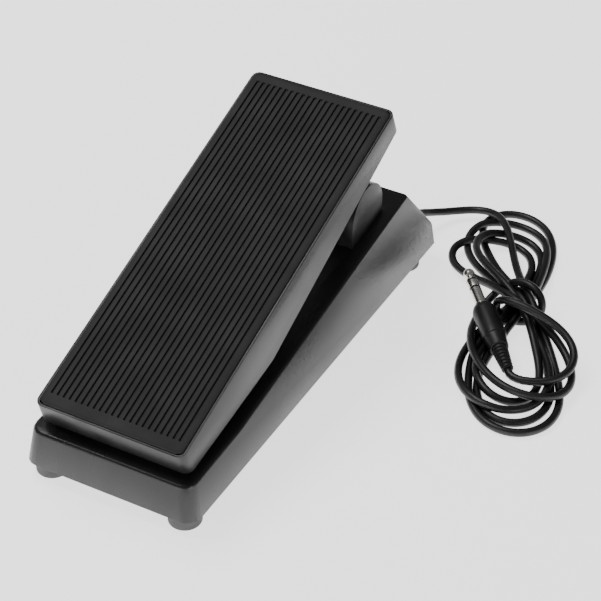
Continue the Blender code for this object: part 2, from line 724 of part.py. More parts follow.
def lug(side):
    """Plate under the treadle that holds the axle on one side."""
    outline = [(LUG_HALF_LENGTH, CEILING + SUNK), (-LUG_HALF_LENGTH, CEILING + SUNK)]
    outline += arc(0.0, 0.0, LUG_RADIUS, 180, 360, 12)
    return extruded(outline, 'X', side * LUG_INNER, side * LUG_OUTER)


def heel_pad_top():
    return above(HEEL_SEAT_HEIGHT) + GAP + HEEL_PAD_HEIGHT


def heel_post(side):
    """Round post under the treadle that lands on the heel pad, upright at rest."""
    start = heel_pad_top() + GAP
    bm = rod('Z', Vector((side * HEEL_STOP_X, along(HEEL_STOP_Y), 0.0)), HEEL_POST_RADIUS,
             start, start + HEEL_POST_LENGTH, 20)
    return moved_to(bm, TREADLE_FRAME.inverted())


def sector_rib():
    right = SECTOR_LEFT - GAP
    return extruded([(RIB_HEEL, RIB_BOTTOM), (RIB_TOE, RIB_BOTTOM), (RIB_TOE, CEILING + SUNK),
                     (RIB_HEEL, CEILING + SUNK)], 'X', right - RIB_THICKNESS, right)


def cross_rib(where):
    """Stiffening rib across the inside of the treadle top."""
    half = TREADLE_WIDTH / 2 - TREADLE_WALL + SUNK
    low, high = CEILING - CROSS_RIB_DEPTH, CEILING + SUNK
    heel, toe = where - CROSS_RIB_HALF, where + CROSS_RIB_HALF
    return extruded([(heel, low), (toe, low), (toe, high), (heel, high)], 'X', -half, half)


def make_treadle_shell():
    bm = less(treadle_block(), treadle_hollow())
    bm = less(bm, extruded(mat_outline(0.0), 'Z', PIVOT_DEPTH - MAT_RECESS, PIVOT_DEPTH + OVERRUN))
    bm = joined(bm, *both_sides(lug), *both_sides(heel_post), sector_rib())
    bm = joined(bm, *[cross_rib(where) for where in CROSS_RIBS])
    bm = less(bm, rod('X', Vector(), AXLE_HOLE, -LUG_OUTER - OVERRUN, LUG_OUTER + OVERRUN, 24))
    for y, z in SECTOR_SCREWS:
        bm = less(bm, rod('X', Vector((0.0, y, z)), SCREW_HOLE, -OVERRUN, SECTOR_LEFT + OVERRUN, 14))
    add_piece('treadle_shell', bm, DARK_TREADLE, TREADLE_FRAME)


def groove_cutters():
    """All the long slots of the mat in one cutter, each with round ends."""
    top = PIVOT_DEPTH + MAT_STAND
    heel = TREADLE_HEEL + MAT_RIM + GROOVE_HEEL_MARGIN
    toe = TREADLE_TOE - MAT_RIM - GROOVE_TOE_MARGIN
    bm = bmesh.new()
    half = GROOVE_WIDTH / 2
    for i in range(GROOVES):
        x = (i - (GROOVES - 1) / 2) * GROOVE_PITCH
        outline = arc(x, toe - half, half, 0, 180, 4) + arc(x, heel + half, half, 180, 360, 4)
        slot = extruded(outline, 'Z', top - GROOVE_DEPTH, top + OVERRUN)
        mesh = bpy.data.meshes.new('slot')
        slot.to_mesh(mesh)
        slot.free()
        bm.from_mesh(mesh)
        bpy.data.meshes.remove(mesh)
    return bm


def make_mat():
    bottom = PIVOT_DEPTH - MAT_RECESS + GAP
    bm = extruded(mat_outline(GAP), 'Z', bottom, PIVOT_DEPTH + MAT_STAND)
    bm = less(bm, groove_cutters())
    add_piece('tread_mat', bm, RUBBER, TREADLE_FRAME)


# ================================================================ stops
def make_stops():
    for label, side in (('right', 1.0), ('left', -1.0)):
        seat = above(HEEL_SEAT_HEIGHT) + GAP
        bm = turned([(0.0, seat), (HEEL_PAD_RADIUS, seat), (HEEL_PAD_RADIUS, heel_pad_top() - PAD_EDGE),
                     (HEEL_PAD_RADIUS - PAD_EDGE, heel_pad_top()), (0.0, heel_pad_top())], 24)
        add_piece('heel_pad_' + label, bm, RUBBER,
                  Matrix.Translation((side * HEEL_STOP_X, along(HEEL_STOP_Y), 0.0)))
        middle = side * (TOWER_INNER + TOWER_OUTER) / 2
        centre = toe_pad_centre()
        outline = rounded_rectangle(middle - TOE_PAD_WIDTH / 2, middle + TOE_PAD_WIDTH / 2,
                                    centre - TOE_PAD_LENGTH / 2, centre + TOE_PAD_LENGTH / 2,
                                    TOE_PAD_CORNER, 3)
        bm = extruded(outline, 'Z', CEILING - GAP - TOE_PAD_THICKNESS, CEILING - GAP)
        add_piece('toe_pad_' + label, bm, RUBBER, TREADLE_FRAME)


def toe_pad_centre():
    """Where the tower tops meet the treadle when the toe is down, along the treadle."""
    height = CEILING - GAP - TOE_PAD_THICKNESS - TOWER_RADIUS
    return math.sqrt(CENTRE_DISTANCE ** 2 - height ** 2)


# ================================================================ gear and potentiometer
def tooth_outline(radius, angle):
    """Four corners of one tooth on a pitch circle, in turning order."""
    corners = []
    for half, step in ((TOOTH_HALF * ROOT_WIDENING, -DEDENDUM), (TOOTH_TOP_HALF, ADDENDUM),
                       (-TOOTH_TOP_HALF, ADDENDUM), (-TOOTH_HALF * ROOT_WIDENING, -DEDENDUM)):
        r = radius + step
        turn = angle - half / radius
        corners.append((r * math.cos(turn), r * math.sin(turn)))
    return corners


def make_sector():
    """Toothed segment hung from the treadle, in the treadle's own frame."""
    radius = GEAR_MODULE * SECTOR_FULL_TEETH / 2
    pitch = math.tau / SECTOR_FULL_TEETH
    mesh_angle = POT_ANGLE - TREADLE_TILT
    outline = []
    first = mesh_angle - SECTOR_SPARE * pitch
    for i in range(SECTOR_TEETH):
        outline += tooth_outline(radius, first + i * pitch)
    last = first + (SECTOR_TEETH - 0.5) * pitch
    root = radius - DEDENDUM
    outline.append((root * math.cos(last), root * math.sin(last)))
    shelf = CEILING - 2 * GAP
    outline.append((SECTOR_SHOULDER[0], shelf - SECTOR_SHOULDER[1]))
    outline += [(where, shelf) for where in SECTOR_SHELF]
    outline += SECTOR_HEEL_EDGE
    low = first - pitch * 0.5
    inner = root - SECTOR_BACKING
    outline.append((inner * math.cos(low), inner * math.sin(low)))
    outline.append((root * math.cos(low), root * math.sin(low)))
    bm = extruded(outline, 'X', SECTOR_LEFT, SECTOR_LEFT + SECTOR_THICKNESS)
    for y, z in SECTOR_SCREWS:
        bm = less(bm, rod('X', Vector((0.0, y, z)), SCREW_HOLE, SECTOR_LEFT - OVERRUN,
                          SECTOR_LEFT + SECTOR_THICKNESS + OVERRUN, 14))
    add_piece('sector_gear', bm, ACETAL, TREADLE_FRAME)
    for number, (y, z) in enumerate(SECTOR_SCREWS, 1):
        seat = Vector((SECTOR_LEFT + SECTOR_THICKNESS + GAP, y, z))
        inwards = Matrix.Rotation(-math.pi / 2, 4, 'Y')
        make_screw('sector_screw_%d' % number, TREADLE_FRAME @ Matrix.Translation(seat) @ inwards,
                   *SECTOR_SCREW)


def make_pinion():
    radius = GEAR_MODULE * PINION_TEETH / 2
    start = math.pi + POT_ANGLE
    outline = []
    for i in range(PINION_TEETH):
        outline += tooth_outline(radius, start + i * math.tau / PINION_TEETH)
    bm = extruded(outline, 'X', PINION_LEFT, PINION_LEFT + PINION_THICKNESS)
    bm = less(bm, rod('X', Vector(), SHAFT_RADIUS + GAP, PINION_LEFT - OVERRUN,
                      PINION_LEFT + PINION_THICKNESS + OVERRUN, 20))
    add_piece('pot_pinion', bm, ACETAL, Matrix.Translation(POT))
    shaft = rod('X', Vector(), SHAFT_RADIUS, PINION_LEFT - SHAFT_STICK_OUT,
                TOWER_INNER + SHAFT_IN_CAN, 20)
    clear = SHAFT_RADIUS + OVERRUN
    flat = extruded([(SHAFT_FLAT, -clear), (clear, -clear), (clear, clear), (SHAFT_FLAT, clear)],
                    'X', PINION_LEFT - SHAFT_STICK_OUT - OVERRUN, PINION_LEFT + PINION_THICKNESS)
    add_piece('pot_shaft', less(shaft, flat), STEEL, Matrix.Translation(POT))


def make_potentiometer():
    wall_face = TOWER_INNER + TOWER_WALL
    can_start = wall_face + GAP
    can_end = can_start + POT_CAN_LENGTH
    sleeve_end = PINION_LEFT + PINION_THICKNESS + GAP
    body = rod('X', Vector(), POT_CAN, can_start, can_end, 28)
    sleeve = rod('X', Vector(), POT_BUSHING, sleeve_end, can_start + OVERRUN, 20)
    body = joined(body, sleeve)
    for step in (-1, 0, 1):
        y = step * TERMINAL_PITCH
        low = -POT_CAN - TERMINAL_DROP
        high = -POT_CAN + TERMINAL_ROOT
        face = can_start + TERMINAL_SET
        leg = extruded([(y - TERMINAL_HALF, low), (y + TERMINAL_HALF, low),
                        (y + TERMINAL_HALF, high), (y - TERMINAL_HALF, high)],
                       'X', face, face + TERMINAL_THICKNESS)
        body = joined(body, leg)
    body = less(body, rod('X', Vector(), SHAFT_RADIUS + GAP, sleeve_end - OVERRUN,
                          TOWER_INNER + SHAFT_IN_CAN + GAP, 20))
    add_piece('potentiometer', body, POT_LOOK, Matrix.Translation(POT))
    washer_radius, washer_thickness = POT_WASHER
    washer_start = TOWER_INNER - GAP - washer_thickness
    bm = ring('X', Vector(), POT_BUSHING + GAP, washer_radius, washer_start, TOWER_INNER - GAP, 24)
    add_piece('pot_washer', bm, STEEL, Matrix.Translation(POT))
    nut_end = washer_start - GAP
    hexagon = arc(0.0, 0.0, NUT_RADIUS, 0, 300, 5)
    bm = extruded(hexagon, 'X', nut_end - NUT_HEIGHT, nut_end)
    bm = less(bm, rod('X', Vector(), POT_BUSHING + GAP, nut_end - NUT_HEIGHT - OVERRUN,
                      nut_end + OVERRUN, 20))
    add_piece('pot_nut', bm, NICKEL, Matrix.Translation(POT))


def wire_block_face():
    return along(BOARD_Y) + BOARD_LENGTH / 2 - BLOCK_SETBACK


def make_board():
    half = BOARD_WIDTH / 2
    y0 = along(BOARD_Y) - BOARD_LENGTH / 2
    outline = rounded_rectangle(-half, half, y0, y0 + BOARD_LENGTH, BOARD_CORNER, 3)
    bm = extruded(outline, 'Z', above(BOARD_Z), above(BOARD_Z + BOARD_THICKNESS))
    for step in (-1, 1):
        y = along(BOARD_Y) + step * BOARD_SCREW_Y
        bm = less(bm, rod('Z', Vector((0.0, y, 0.0)), SCREW_HOLE, above(BOARD_Z - OVERRUN),
                          above(BOARD_Z + BOARD_THICKNESS + OVERRUN), 14))
        make_screw('board_screw_' + ('toe' if step > 0 else 'heel'),
                   Matrix.Translation((0.0, y, above(BOARD_Z - GAP))), *BOARD_SCREW)
    add_piece('circuit_board', bm, BOARD_LOOK)
    toe_face = wire_block_face()
    outline = rounded_rectangle(BLOCK_LEFT, BLOCK_RIGHT, toe_face - BLOCK_LENGTH, toe_face,
                                BLOCK_CORNER, 2)
    block = extruded(outline, 'Z', above(BOARD_Z + BOARD_THICKNESS + GAP), above(BOARD_Z + BLOCK_TOP))
    add_piece('wire_block', block, NYLON)


# ================================================================ cord
def smooth_route(points, spacing):
    """Evenly spaced points on a smooth curve through the given ones."""
    padded = [2 * points[0] - points[1]] + points + [2 * points[-1] - points[-2]]
    fine = []
    for i in range(1, len(padded) - 2):
        p0, p1, p2, p3 = padded[i - 1:i + 3]
        for k in range(24):
            t = k / 24
            fine.append(0.5 * ((2 * p1) + (p2 - p0) * t + (2 * p0 - 5 * p1 + 4 * p2 - p3) * t ** 2
                               + (3 * p1 - p0 - 3 * p2 + p3) * t ** 3))
    fine.append(points[-1])
    total = sum((b - a).length for a, b in zip(fine, fine[1:]))
    count = max(2, round(total / spacing))
    wanted = [total * i / count for i in range(count + 1)]
    spaced = []
    walked = 0.0
    index = 0
    for a, b in zip(fine, fine[1:]):
        step = (b - a).length
        while index < count and wanted[index] <= walked + step:
            share = (wanted[index] - walked) / step
            spaced.append(a.lerp(b, share))
            index += 1
        walked += step
    spaced.append(points[-1])
    return spaced


def add_tube(name, points, radius, look, spacing):
    """Round cord as a curve with closed ends."""
    curve = bpy.data.curves.new(name, 'CURVE')
    curve.dimensions = '3D'
    curve.bevel_depth = radius
    curve.bevel_resolution = 2
    curve.use_fill_caps = True
    route = smooth_route(points, spacing)
    spline = curve.splines.new('POLY')
    spline.points.add(len(route) - 1)
    for slot, point in zip(spline.points, route):
        slot.co = (*point, 1.0)
    obj = bpy.data.objects.new(name, curve)
    colour, roughness, metallic = look
    curve.materials.append(material(name, colour, roughness, metallic))
    home = bpy.data.collections.new(name)
    bpy.context.scene.collection.children.link(home)
    home.objects.link(obj)
    return obj


def make_relief():
    """Moulded rubber sleeve where the cord leaves the toe wall; its axis is +Y."""
    wall_in = -BASE_WALL - GAP
    bore = CORD_RADIUS + GAP
    inner_face = wall_in - RELIEF_INNER_FLANGE
    taper = (RELIEF_NECK + RELIEF_FLANGE) / 2 + GAP / 2
    profile = [(bore, inner_face), (RELIEF_FLANGE, inner_face), (RELIEF_FLANGE, wall_in),
               (RELIEF_NECK, wall_in), (RELIEF_NECK, GAP), (RELIEF_FLANGE, GAP),
               (RELIEF_FLANGE, RELIEF_FLANGE_END), (taper, RELIEF_TAPER_START),
               (RELIEF_TAIL, RELIEF_LENGTH), (bore, RELIEF_LENGTH)]
    bm = moved_to(turned(profile, 24), axis_turn('Y'))
    add_piece('cord_relief', bm, HANDLE_LOOK,
              Matrix.Translation((CORD_EXIT_X, BASE_LENGTH / 2, above(CORD_EXIT_Z))))


CORD_HEIGHT = FOOT_DROP + CORD_EXIT_Z
LYING = CORD_RADIUS + 0.0004   # cord centre where it lies on the floor
LEAD_ROUTE = [               # measured from the toe corner
    (-0.01775, 0.00325, CORD_HEIGHT),
    (-0.01775, 0.00850, CORD_HEIGHT),
    (-0.01775, 0.01150, CORD_HEIGHT - 0.0003),
    (-0.01725, 0.01650, CORD_HEIGHT - 0.0035),
    (-0.01550, 0.02200, CORD_HEIGHT - 0.0080),
    (-0.01250, 0.02850, LYING + 0.0020),
    (-0.00750, 0.03500, LYING + 0.0002),
    (-0.00250, 0.04150, LYING),
    (0.00325, 0.04725, LYING),
    (0.00775, 0.04950, LYING),
    (0.01205, 0.04975, LYING),
]
HANK_OUTLINE = [             # measured from the toe corner
    (0.01255, 0.05375), (0.01255, 0.04375), (0.00925, 0.03325),
    (0.00745, 0.01725), (0.00825, -0.00075), (0.01725, -0.01475),
    (0.03525, -0.02575), (0.04425, -0.03875), (0.04775, -0.05675),
    (0.05025, -0.07475), (0.05625, -0.09375), (0.06625, -0.11075),
    (0.07925, -0.12375), (0.09425, -0.12875), (0.10725, -0.12575),
    (0.11825, -0.11175), (0.12075, -0.08675), (0.11525, -0.06175),
    (0.10825, -0.04175), (0.09325, -0.02875), (0.07825, -0.02075),
    (0.07125, -0.00875), (0.06825, 0.01125), (0.06225, 0.03125),
    (0.05325, 0.04625), (0.03925, 0.05475), (0.02525, 0.05475),
]


def make_cord():
    exit_y = BASE_LENGTH / 2
    route = [TOE_CORNER + Vector(point) for point in LEAD_ROUTE]
    inner_end = exit_y - BASE_WALL - GAP - LEAD_CAP
    add_tube('cord_lead', route, CORD_RADIUS, CORD_LOOK, 0.0050)
    make_inner_lead(route[0].y - GAP, inner_end)
    make_pot_wires()


def make_inner_lead(outer_end, inner_end):
    """The cord on the inside: through the relief and over to the wire block."""
    height = above(CORD_EXIT_Z)
    block_x = BLOCK_RIGHT - CORD_RADIUS
    block_z = above(BOARD_Z + BLOCK_TOP - 0.0030)
    inside = [Vector((CORD_EXIT_X, outer_end, height)), Vector((CORD_EXIT_X, inner_end, height)),
              Vector((CORD_EXIT_X - 0.0030, inner_end - 0.0120, height)),
              Vector((CORD_EXIT_X - 0.0110, inner_end - 0.0260, height + 0.0010)),
              Vector((BLOCK_RIGHT + 0.0015, wire_block_face() + 0.0200, above(BOARD_Z + 0.0020))),
              Vector((block_x, wire_block_face() + 0.0070, block_z)),
              Vector((block_x, wire_block_face() + GAP, block_z))]
    add_tube('inner_lead', inside, CORD_RADIUS - GAP, CORD_LOOK, 0.0055)


def make_pot_wires():
    """Wires from the potentiometer's legs down to the wire block, as one round bundle."""
    pot_face = TOWER_INNER + TOWER_WALL + GAP
    drop = POT.z - POT_CAN - TERMINAL_DROP - GAP
    block_x = BLOCK_LEFT + 0.0018
    block_z = above(BOARD_Z + BLOCK_TOP - 0.0025)
    wires = [Vector((pot_face + 0.0020, POT.y, drop - 0.0010)),
             Vector((pot_face + 0.0020, POT.y - 0.0040, drop - 0.0120)),
             Vector((pot_face - 0.0050, POT.y - 0.0200, drop - 0.0150)),
             Vector((block_x, wire_block_face() + 0.0060, block_z)),
             Vector((block_x, wire_block_face() + GAP, block_z))]
    add_tube('pot_wires', wires, WIRE_BUNDLE, CORD_LOOK, 0.0040)


def make_hank():
    """The tied figure-eight of cord as its outer shape, with a channel for the plug."""
    outline = [(TOE_CORNER.x + x, TOE_CORNER.y + y) for x, y in HANK_OUTLINE]
    bm = extruded(outline, 'Z', HANK_BOTTOM, HANK_TOP)
    bm = less(bm, plug_channel())
    add_piece('cord_hank', bm, CORD_LOOK)


# ================================================================ plug
def plug_frame():
    """+Z runs from the tip to the cord; the origin is the tip's end."""
    turn = Vector((0.0, 0.0, 1.0)).rotation_difference(PLUG_AIM).to_matrix().to_4x4()
    return Matrix.Translation(PLUG_TIP_AT) @ turn


PLUG_WHOLE = PLUG_EXPOSED + HANDLE_LENGTH + BOOT_LENGTH + 2 * GAP
CHANNEL_RUN_OUT = 0.0400     # the channel runs on past the tip, out of the hank


def plug_channel():
    side = PLUG_AIM.cross(Vector((0.0, 0.0, 1.0))).normalized()
    half = HANDLE_RADIUS + GAP
    start = PLUG_TIP_AT - PLUG_AIM * CHANNEL_RUN_OUT
    stop = PLUG_TIP_AT + PLUG_AIM * (PLUG_WHOLE + TAIL_LENGTH + 2 * GAP)
    corners = [start - side * half, start + side * half, stop + side * half, stop - side * half]
    handle_end = PLUG_TIP_AT + PLUG_AIM * (PLUG_EXPOSED + HANDLE_LENGTH)
    floor = handle_end.z - HANDLE_RADIUS - GAP
    return extruded([(c.x, c.y) for c in corners], 'Z', floor, HANK_TOP + OVERRUN)


def make_plug():
    frame = plug_frame()
    pin = TIP_LENGTH + PIN_REACH
    tip_profile = [(0.0, 0.0), *TIP_SHAPE, (PLUG_RADIUS - 2 * SLIT, TIP_LENGTH),
                   (PIN_RADIUS, TIP_LENGTH), (PIN_RADIUS, pin), (0.0, pin)]
    add_piece('plug_tip', turned(tip_profile, 24), NICKEL, frame)
    bore = PIN_RADIUS + SLIT
    band = PLUG_RADIUS - SLIT
    first = TIP_LENGTH + SLIT
    add_ring('plug_insulator_tip', frame, bore, band, first, BAND_LENGTH, INSULATOR)
    ring_start = first + BAND_LENGTH + SLIT
    add_ring('plug_ring', frame, bore, PLUG_RADIUS, ring_start, RING_LENGTH, NICKEL)
    second = ring_start + RING_LENGTH + SLIT
    add_disc('plug_insulator_ring', frame, band, second, BAND_LENGTH, INSULATOR)
    sleeve_start = second + BAND_LENGTH + SLIT
    collar = PLUG_RADIUS + COLLAR_STEP
    sleeve = [(0.0, sleeve_start), (PLUG_RADIUS, sleeve_start),
              (PLUG_RADIUS, PLUG_EXPOSED - COLLAR_LENGTH), (collar, PLUG_EXPOSED - COLLAR_LENGTH + GAP),
              (collar, PLUG_EXPOSED), (0.0, PLUG_EXPOSED)]
    add_piece('plug_sleeve', turned(sleeve, 24), NICKEL, frame)
    make_plug_handle(frame)


def add_ring(name, frame, inner, outer, start, length, look):
    stop = start + length
    bm = turned([(inner, start), (outer, start), (outer, stop), (inner, stop)], 24)
    add_piece(name, bm, look, frame)


def add_disc(name, frame, radius, start, length, look):
    stop = start + length
    bm = turned([(0.0, start), (radius, start), (radius, stop), (0.0, stop)], 24)
    add_piece(name, bm, look, frame)


def make_plug_handle(frame):
    start = PLUG_EXPOSED + GAP
    stop = start + HANDLE_LENGTH
    handle = [(0.0, start)]
    handle += [(radius, start + up) for radius, up in HANDLE_FRONT]
    handle += [(radius, stop - down) for radius, down in HANDLE_BACK]
    handle.append((0.0, stop))
    add_piece('plug_handle', turned(handle, 28), HANDLE_LOOK, frame)
    make_boot(frame, stop + GAP)
    begin = PLUG_TIP_AT + PLUG_AIM * (PLUG_WHOLE + GAP)
    end = begin + PLUG_AIM * (TAIL_LENGTH - GAP)
    add_tube('cord_tail', [begin, begin.lerp(end, 0.5), end], CORD_RADIUS, CORD_LOOK, 0.0050)


def make_boot(frame, start):
    """Finned bend relief behind the handle, each fin a little smaller than the one before."""
    boot = [(0.0, start)]
    pitch = BOOT_LENGTH / FINS
    for i in range(FINS):
        radius = BOOT_BIG + (BOOT_SMALL - BOOT_BIG) * i / FINS
        low = start + i * pitch
        slot = radius - FIN_DEPTH
        boot += [(radius, low), (radius, low + pitch * 0.62), (slot, low + pitch * 0.66),
                 (slot, low + pitch * 0.97)]
    boot += [(BOOT_SMALL - GAP, start + BOOT_LENGTH), (0.0, start + BOOT_LENGTH)]
    add_piece('plug_boot', turned(boot, 20), HANDLE_LOOK, frame)


# ================================================================ whole
def smooth_all():
    for obj in bpy.data.objects:
        if obj.type == 'MESH':
            obj.data.shade_smooth()
            obj.data.set_sharp_from_angle(angle=math.radians(35))


def build():
    for obj in list(bpy.data.objects):
        bpy.data.objects.remove(obj, do_unlink=True)
    make_base_shell()
    make_bottom_plate()
    make_feet()
    make_pivot_hardware()
    make_axle()
    make_treadle_shell()
    make_mat()
    make_stops()
    make_sector()
    make_pinion()
    make_potentiometer()
    make_board()
    make_relief()
    make_cord()
    make_hank()
    make_plug()
    smooth_all()


build()
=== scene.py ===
"""Finish, cord and fine surfaces of the rocker pedal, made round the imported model.

Metres, +Z up, heel end at -Y, toe end at +Y.  The floor is z = 0.
"""
import json
import math

import bmesh
import bpy
import numpy as np
from mathutils import Matrix, Vector


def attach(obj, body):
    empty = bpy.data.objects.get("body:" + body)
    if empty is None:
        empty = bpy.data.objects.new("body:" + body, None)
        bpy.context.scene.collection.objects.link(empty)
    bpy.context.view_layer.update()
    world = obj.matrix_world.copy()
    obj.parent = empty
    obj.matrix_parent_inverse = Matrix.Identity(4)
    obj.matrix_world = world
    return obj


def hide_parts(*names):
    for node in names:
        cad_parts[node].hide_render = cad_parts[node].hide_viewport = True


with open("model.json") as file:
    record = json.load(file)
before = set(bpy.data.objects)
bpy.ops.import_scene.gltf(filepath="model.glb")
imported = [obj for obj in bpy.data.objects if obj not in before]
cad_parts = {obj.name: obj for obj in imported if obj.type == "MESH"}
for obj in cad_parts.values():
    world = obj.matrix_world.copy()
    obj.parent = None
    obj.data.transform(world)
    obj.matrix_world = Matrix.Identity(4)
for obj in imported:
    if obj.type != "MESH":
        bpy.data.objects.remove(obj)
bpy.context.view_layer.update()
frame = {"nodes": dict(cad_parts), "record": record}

MM = 0.001


# ================================================================ camera and studio
CAMERA_PLACE = (0.4345, -0.7317, 0.6950)
CAMERA_TURN = (52.284, -0.165, 28.773)     # degrees about X, Y and Z
CAMERA_LENS = 124.9                        # millimetres
SENSOR_WIDTH = 36.0
AMBIENT = 0.14
FLOOR_REACH = 6.0
FLOOR_LEVEL = -0.0001                      # a hair under the feet
FLOOR_WHITE = 0.92
FLOOR_GLOW = 1.7


def make_camera():
    camera = bpy.data.objects.new("camera", bpy.data.cameras.new("camera"))
    camera.location = CAMERA_PLACE
    camera.rotation_euler = [math.radians(turn) for turn in CAMERA_TURN]
    camera.data.lens = CAMERA_LENS
    camera.data.sensor_width = SENSOR_WIDTH
    camera.data.clip_start = 0.05
    camera.data.clip_end = 20.0
    bpy.context.scene.collection.objects.link(camera)
    bpy.context.scene.camera = camera


def softbox(name, place, target, size, power):
    """White rectangular lamp at a place, facing a target."""
    lamp = bpy.data.lights.new(name, 'AREA')
    lamp.shape = 'RECTANGLE'
    lamp.size, lamp.size_y = size
    lamp.energy = power
    holder = bpy.data.objects.new(name, lamp)
    holder.location = place
    aim = Vector(target) - Vector(place)
    holder.rotation_euler = aim.to_track_quat('-Z', 'Y').to_euler()
    bpy.context.scene.collection.objects.link(holder)


def make_studio():
    world = bpy.data.worlds.new("studio")
    world.use_nodes = True
    sky = world.node_tree.nodes["Background"]
    sky.inputs["Color"].default_value = (1.0, 1.0, 1.0, 1.0)
    sky.inputs["Strength"].default_value = AMBIENT
    bpy.context.scene.world = world
    softbox("overhead", (-0.55, 0.10, 1.25), (0.05, 0.05, 0.0), (0.8, 0.5), 9.0)
    softbox("right", (1.25, -0.45, 0.30), (0.0, 0.0, 0.03), (0.9, 0.4), 4.0)
    softbox("front", (-0.10, -1.30, 0.35), (0.0, 0.0, 0.02), (1.1, 0.5), 6.0)


def make_floor():
    """Sheet of white paper lit from under, as on a light table, so that it stays white to its edges."""
    mesh = bpy.data.meshes.new("studio_floor")
    corners = [(x * FLOOR_REACH, y * FLOOR_REACH, FLOOR_LEVEL)
               for x, y in ((-1, -1), (1, -1), (1, 1), (-1, 1))]
    mesh.from_pydata(corners, [], [(0, 1, 2, 3)])
    floor = bpy.data.objects.new("studio_floor", mesh)
    bpy.context.scene.collection.objects.link(floor)
    paper = bpy.data.materials.new("studio_paper")
    paper.use_nodes = True
    shader = paper.node_tree.nodes["Principled BSDF"]
    shader.inputs["Base Color"].default_value = (FLOOR_WHITE, FLOOR_WHITE, FLOOR_WHITE, 1.0)
    shader.inputs["Roughness"].default_value = 0.9
    shader.inputs["Emission Color"].default_value = (1.0, 1.0, 1.0, 1.0)
    shader.inputs["Emission Strength"].default_value = FLOOR_GLOW
    mesh.materials.append(paper)


# ================================================================ surfaces from numbers
def add_object(name, points, faces, uv=None):
    """Mesh object at the origin from point and face arrays; its faces are turned outwards."""
    mesh = bpy.data.meshes.new(name)
    mesh.from_pydata(points.tolist(), [], [list(face) for face in faces])
    if uv is not None:
        layer = mesh.uv_layers.new(name="run")
        index = np.empty(len(mesh.loops), dtype=np.int64)
        mesh.loops.foreach_get("vertex_index", index)
        layer.data.foreach_set("uv", uv[index].astype(np.float32).ravel())
    bm = bmesh.new()
    bm.from_mesh(mesh)
    bmesh.ops.remove_doubles(bm, verts=bm.verts, dist=1e-6)
    bmesh.ops.dissolve_degenerate(bm, edges=bm.edges, dist=1e-7)
    bmesh.ops.recalc_face_normals(bm, faces=bm.faces)
    bm.to_mesh(mesh)
    bm.free()
    mesh.shade_smooth()
    made = bpy.data.objects.new(name, mesh)
    bpy.context.scene.collection.objects.link(made)
    return made


def lattice(rows, columns, around=True):
    """Quads that join each point of a grid to its neighbours, the last column to the first."""
    row, column = np.meshgrid(np.arange(rows - 1), np.arange(columns if around else columns - 1),
                              indexing="ij")
    after = (column + 1) % columns
    here = row * columns + column
    return np.stack([here, row * columns + after, here + columns - column + after,
                     here + columns], axis=-1).reshape(-1, 4)


def turned(name, profile, matrix, sides=64):
    """Point (r, h) of the profile goes to (r cos a, r sin a, h) for each angle a of a full turn."""
    outline = np.array(profile, dtype=float)
    angle = np.linspace(0.0, math.tau, sides, endpoint=False)
    radius, height = outline[:, :1], outline[:, 1:]
    grid = np.stack([radius * np.cos(angle), radius * np.sin(angle),
                     np.repeat(height, sides, axis=1)], axis=-1).reshape(-1, 3)
    turn = np.array(matrix)
    points = grid @ turn[:3, :3].T + turn[:3, 3]
    return add_object(name, points, lattice(len(outline), sides).tolist())


def rounded(profile, radius, steps=4):
    """Profile whose inner corners are replaced by short arcs (quadratic curves)."""
    corner = np.array(profile, dtype=float)
    out = [corner[0]]
    share = np.linspace(0.0, 1.0, steps + 1)[:, None]
    for before, here, after in zip(corner[:-2], corner[1:-1], corner[2:]):
        back, on = before - here, after - here
        reach_back = min(radius, 0.45 * np.linalg.norm(back)) * back / np.linalg.norm(back)
        reach_on = min(radius, 0.45 * np.linalg.norm(on)) * on / np.linalg.norm(on)
        start, stop = here + reach_back, here + reach_on
        out.extend((1 - share) ** 2 * start + 2 * share * (1 - share) * here + share ** 2 * stop)
    out.append(corner[-1])
    return np.array(out)


def swept(name, path, radius, sides=14):
    """Tube: circles of the given radius, square to the path, without twist from one to the next."""
    forward = np.gradient(path, axis=0)
    forward /= np.linalg.norm(forward, axis=1)[:, None]
    side = np.empty_like(path)
    side[0] = np.cross(forward[0], (0.0, 0.0, 1.0))
    side[0] /= np.linalg.norm(side[0])
    for k in range(1, len(path)):
        carried = side[k - 1] - forward[k] * np.dot(side[k - 1], forward[k])
        side[k] = carried / np.linalg.norm(carried)
    up = np.cross(forward, side)
    angle = np.linspace(0.0, math.tau, sides, endpoint=False)
    grid = path[:, None, :] + radius * (np.cos(angle)[None, :, None] * side[:, None, :]
                                        + np.sin(angle)[None, :, None] * up[:, None, :])
    run = np.r_[0.0, np.cumsum(np.linalg.norm(np.diff(path, axis=0), axis=1))]
    uv = np.stack(np.broadcast_arrays(run[:, None], angle[None, :] / math.tau), axis=-1)
    faces = lattice(len(path), sides).tolist()
    faces.append(list(range(sides))[::-1])
    faces.append([(len(path) - 1) * sides + k for k in range(sides)])
    return add_object(name, grid.reshape(-1, 3), faces, uv.reshape(-1, 2))


# ================================================================ cord
CORD_DIAMETER = 4.4 * MM
CORD_EXIT = (0.031, 0.13025, 0.0165)
PLUG_TIP = np.array([0.0792, 0.1082, 0.0144])
PLUG_HEADING = np.array([0.6475, -0.7585, -0.0700])     # from the tip towards the boot
PLUG_AIM = PLUG_HEADING / np.linalg.norm(PLUG_HEADING)
PLUG_EXPOSED = 0.0305
HANDLE_LENGTH = 0.0330
BOOT_LENGTH = 0.0160
SEAM = 0.0003
PLUG_WHOLE = PLUG_EXPOSED + HANDLE_LENGTH + BOOT_LENGTH + 2 * SEAM

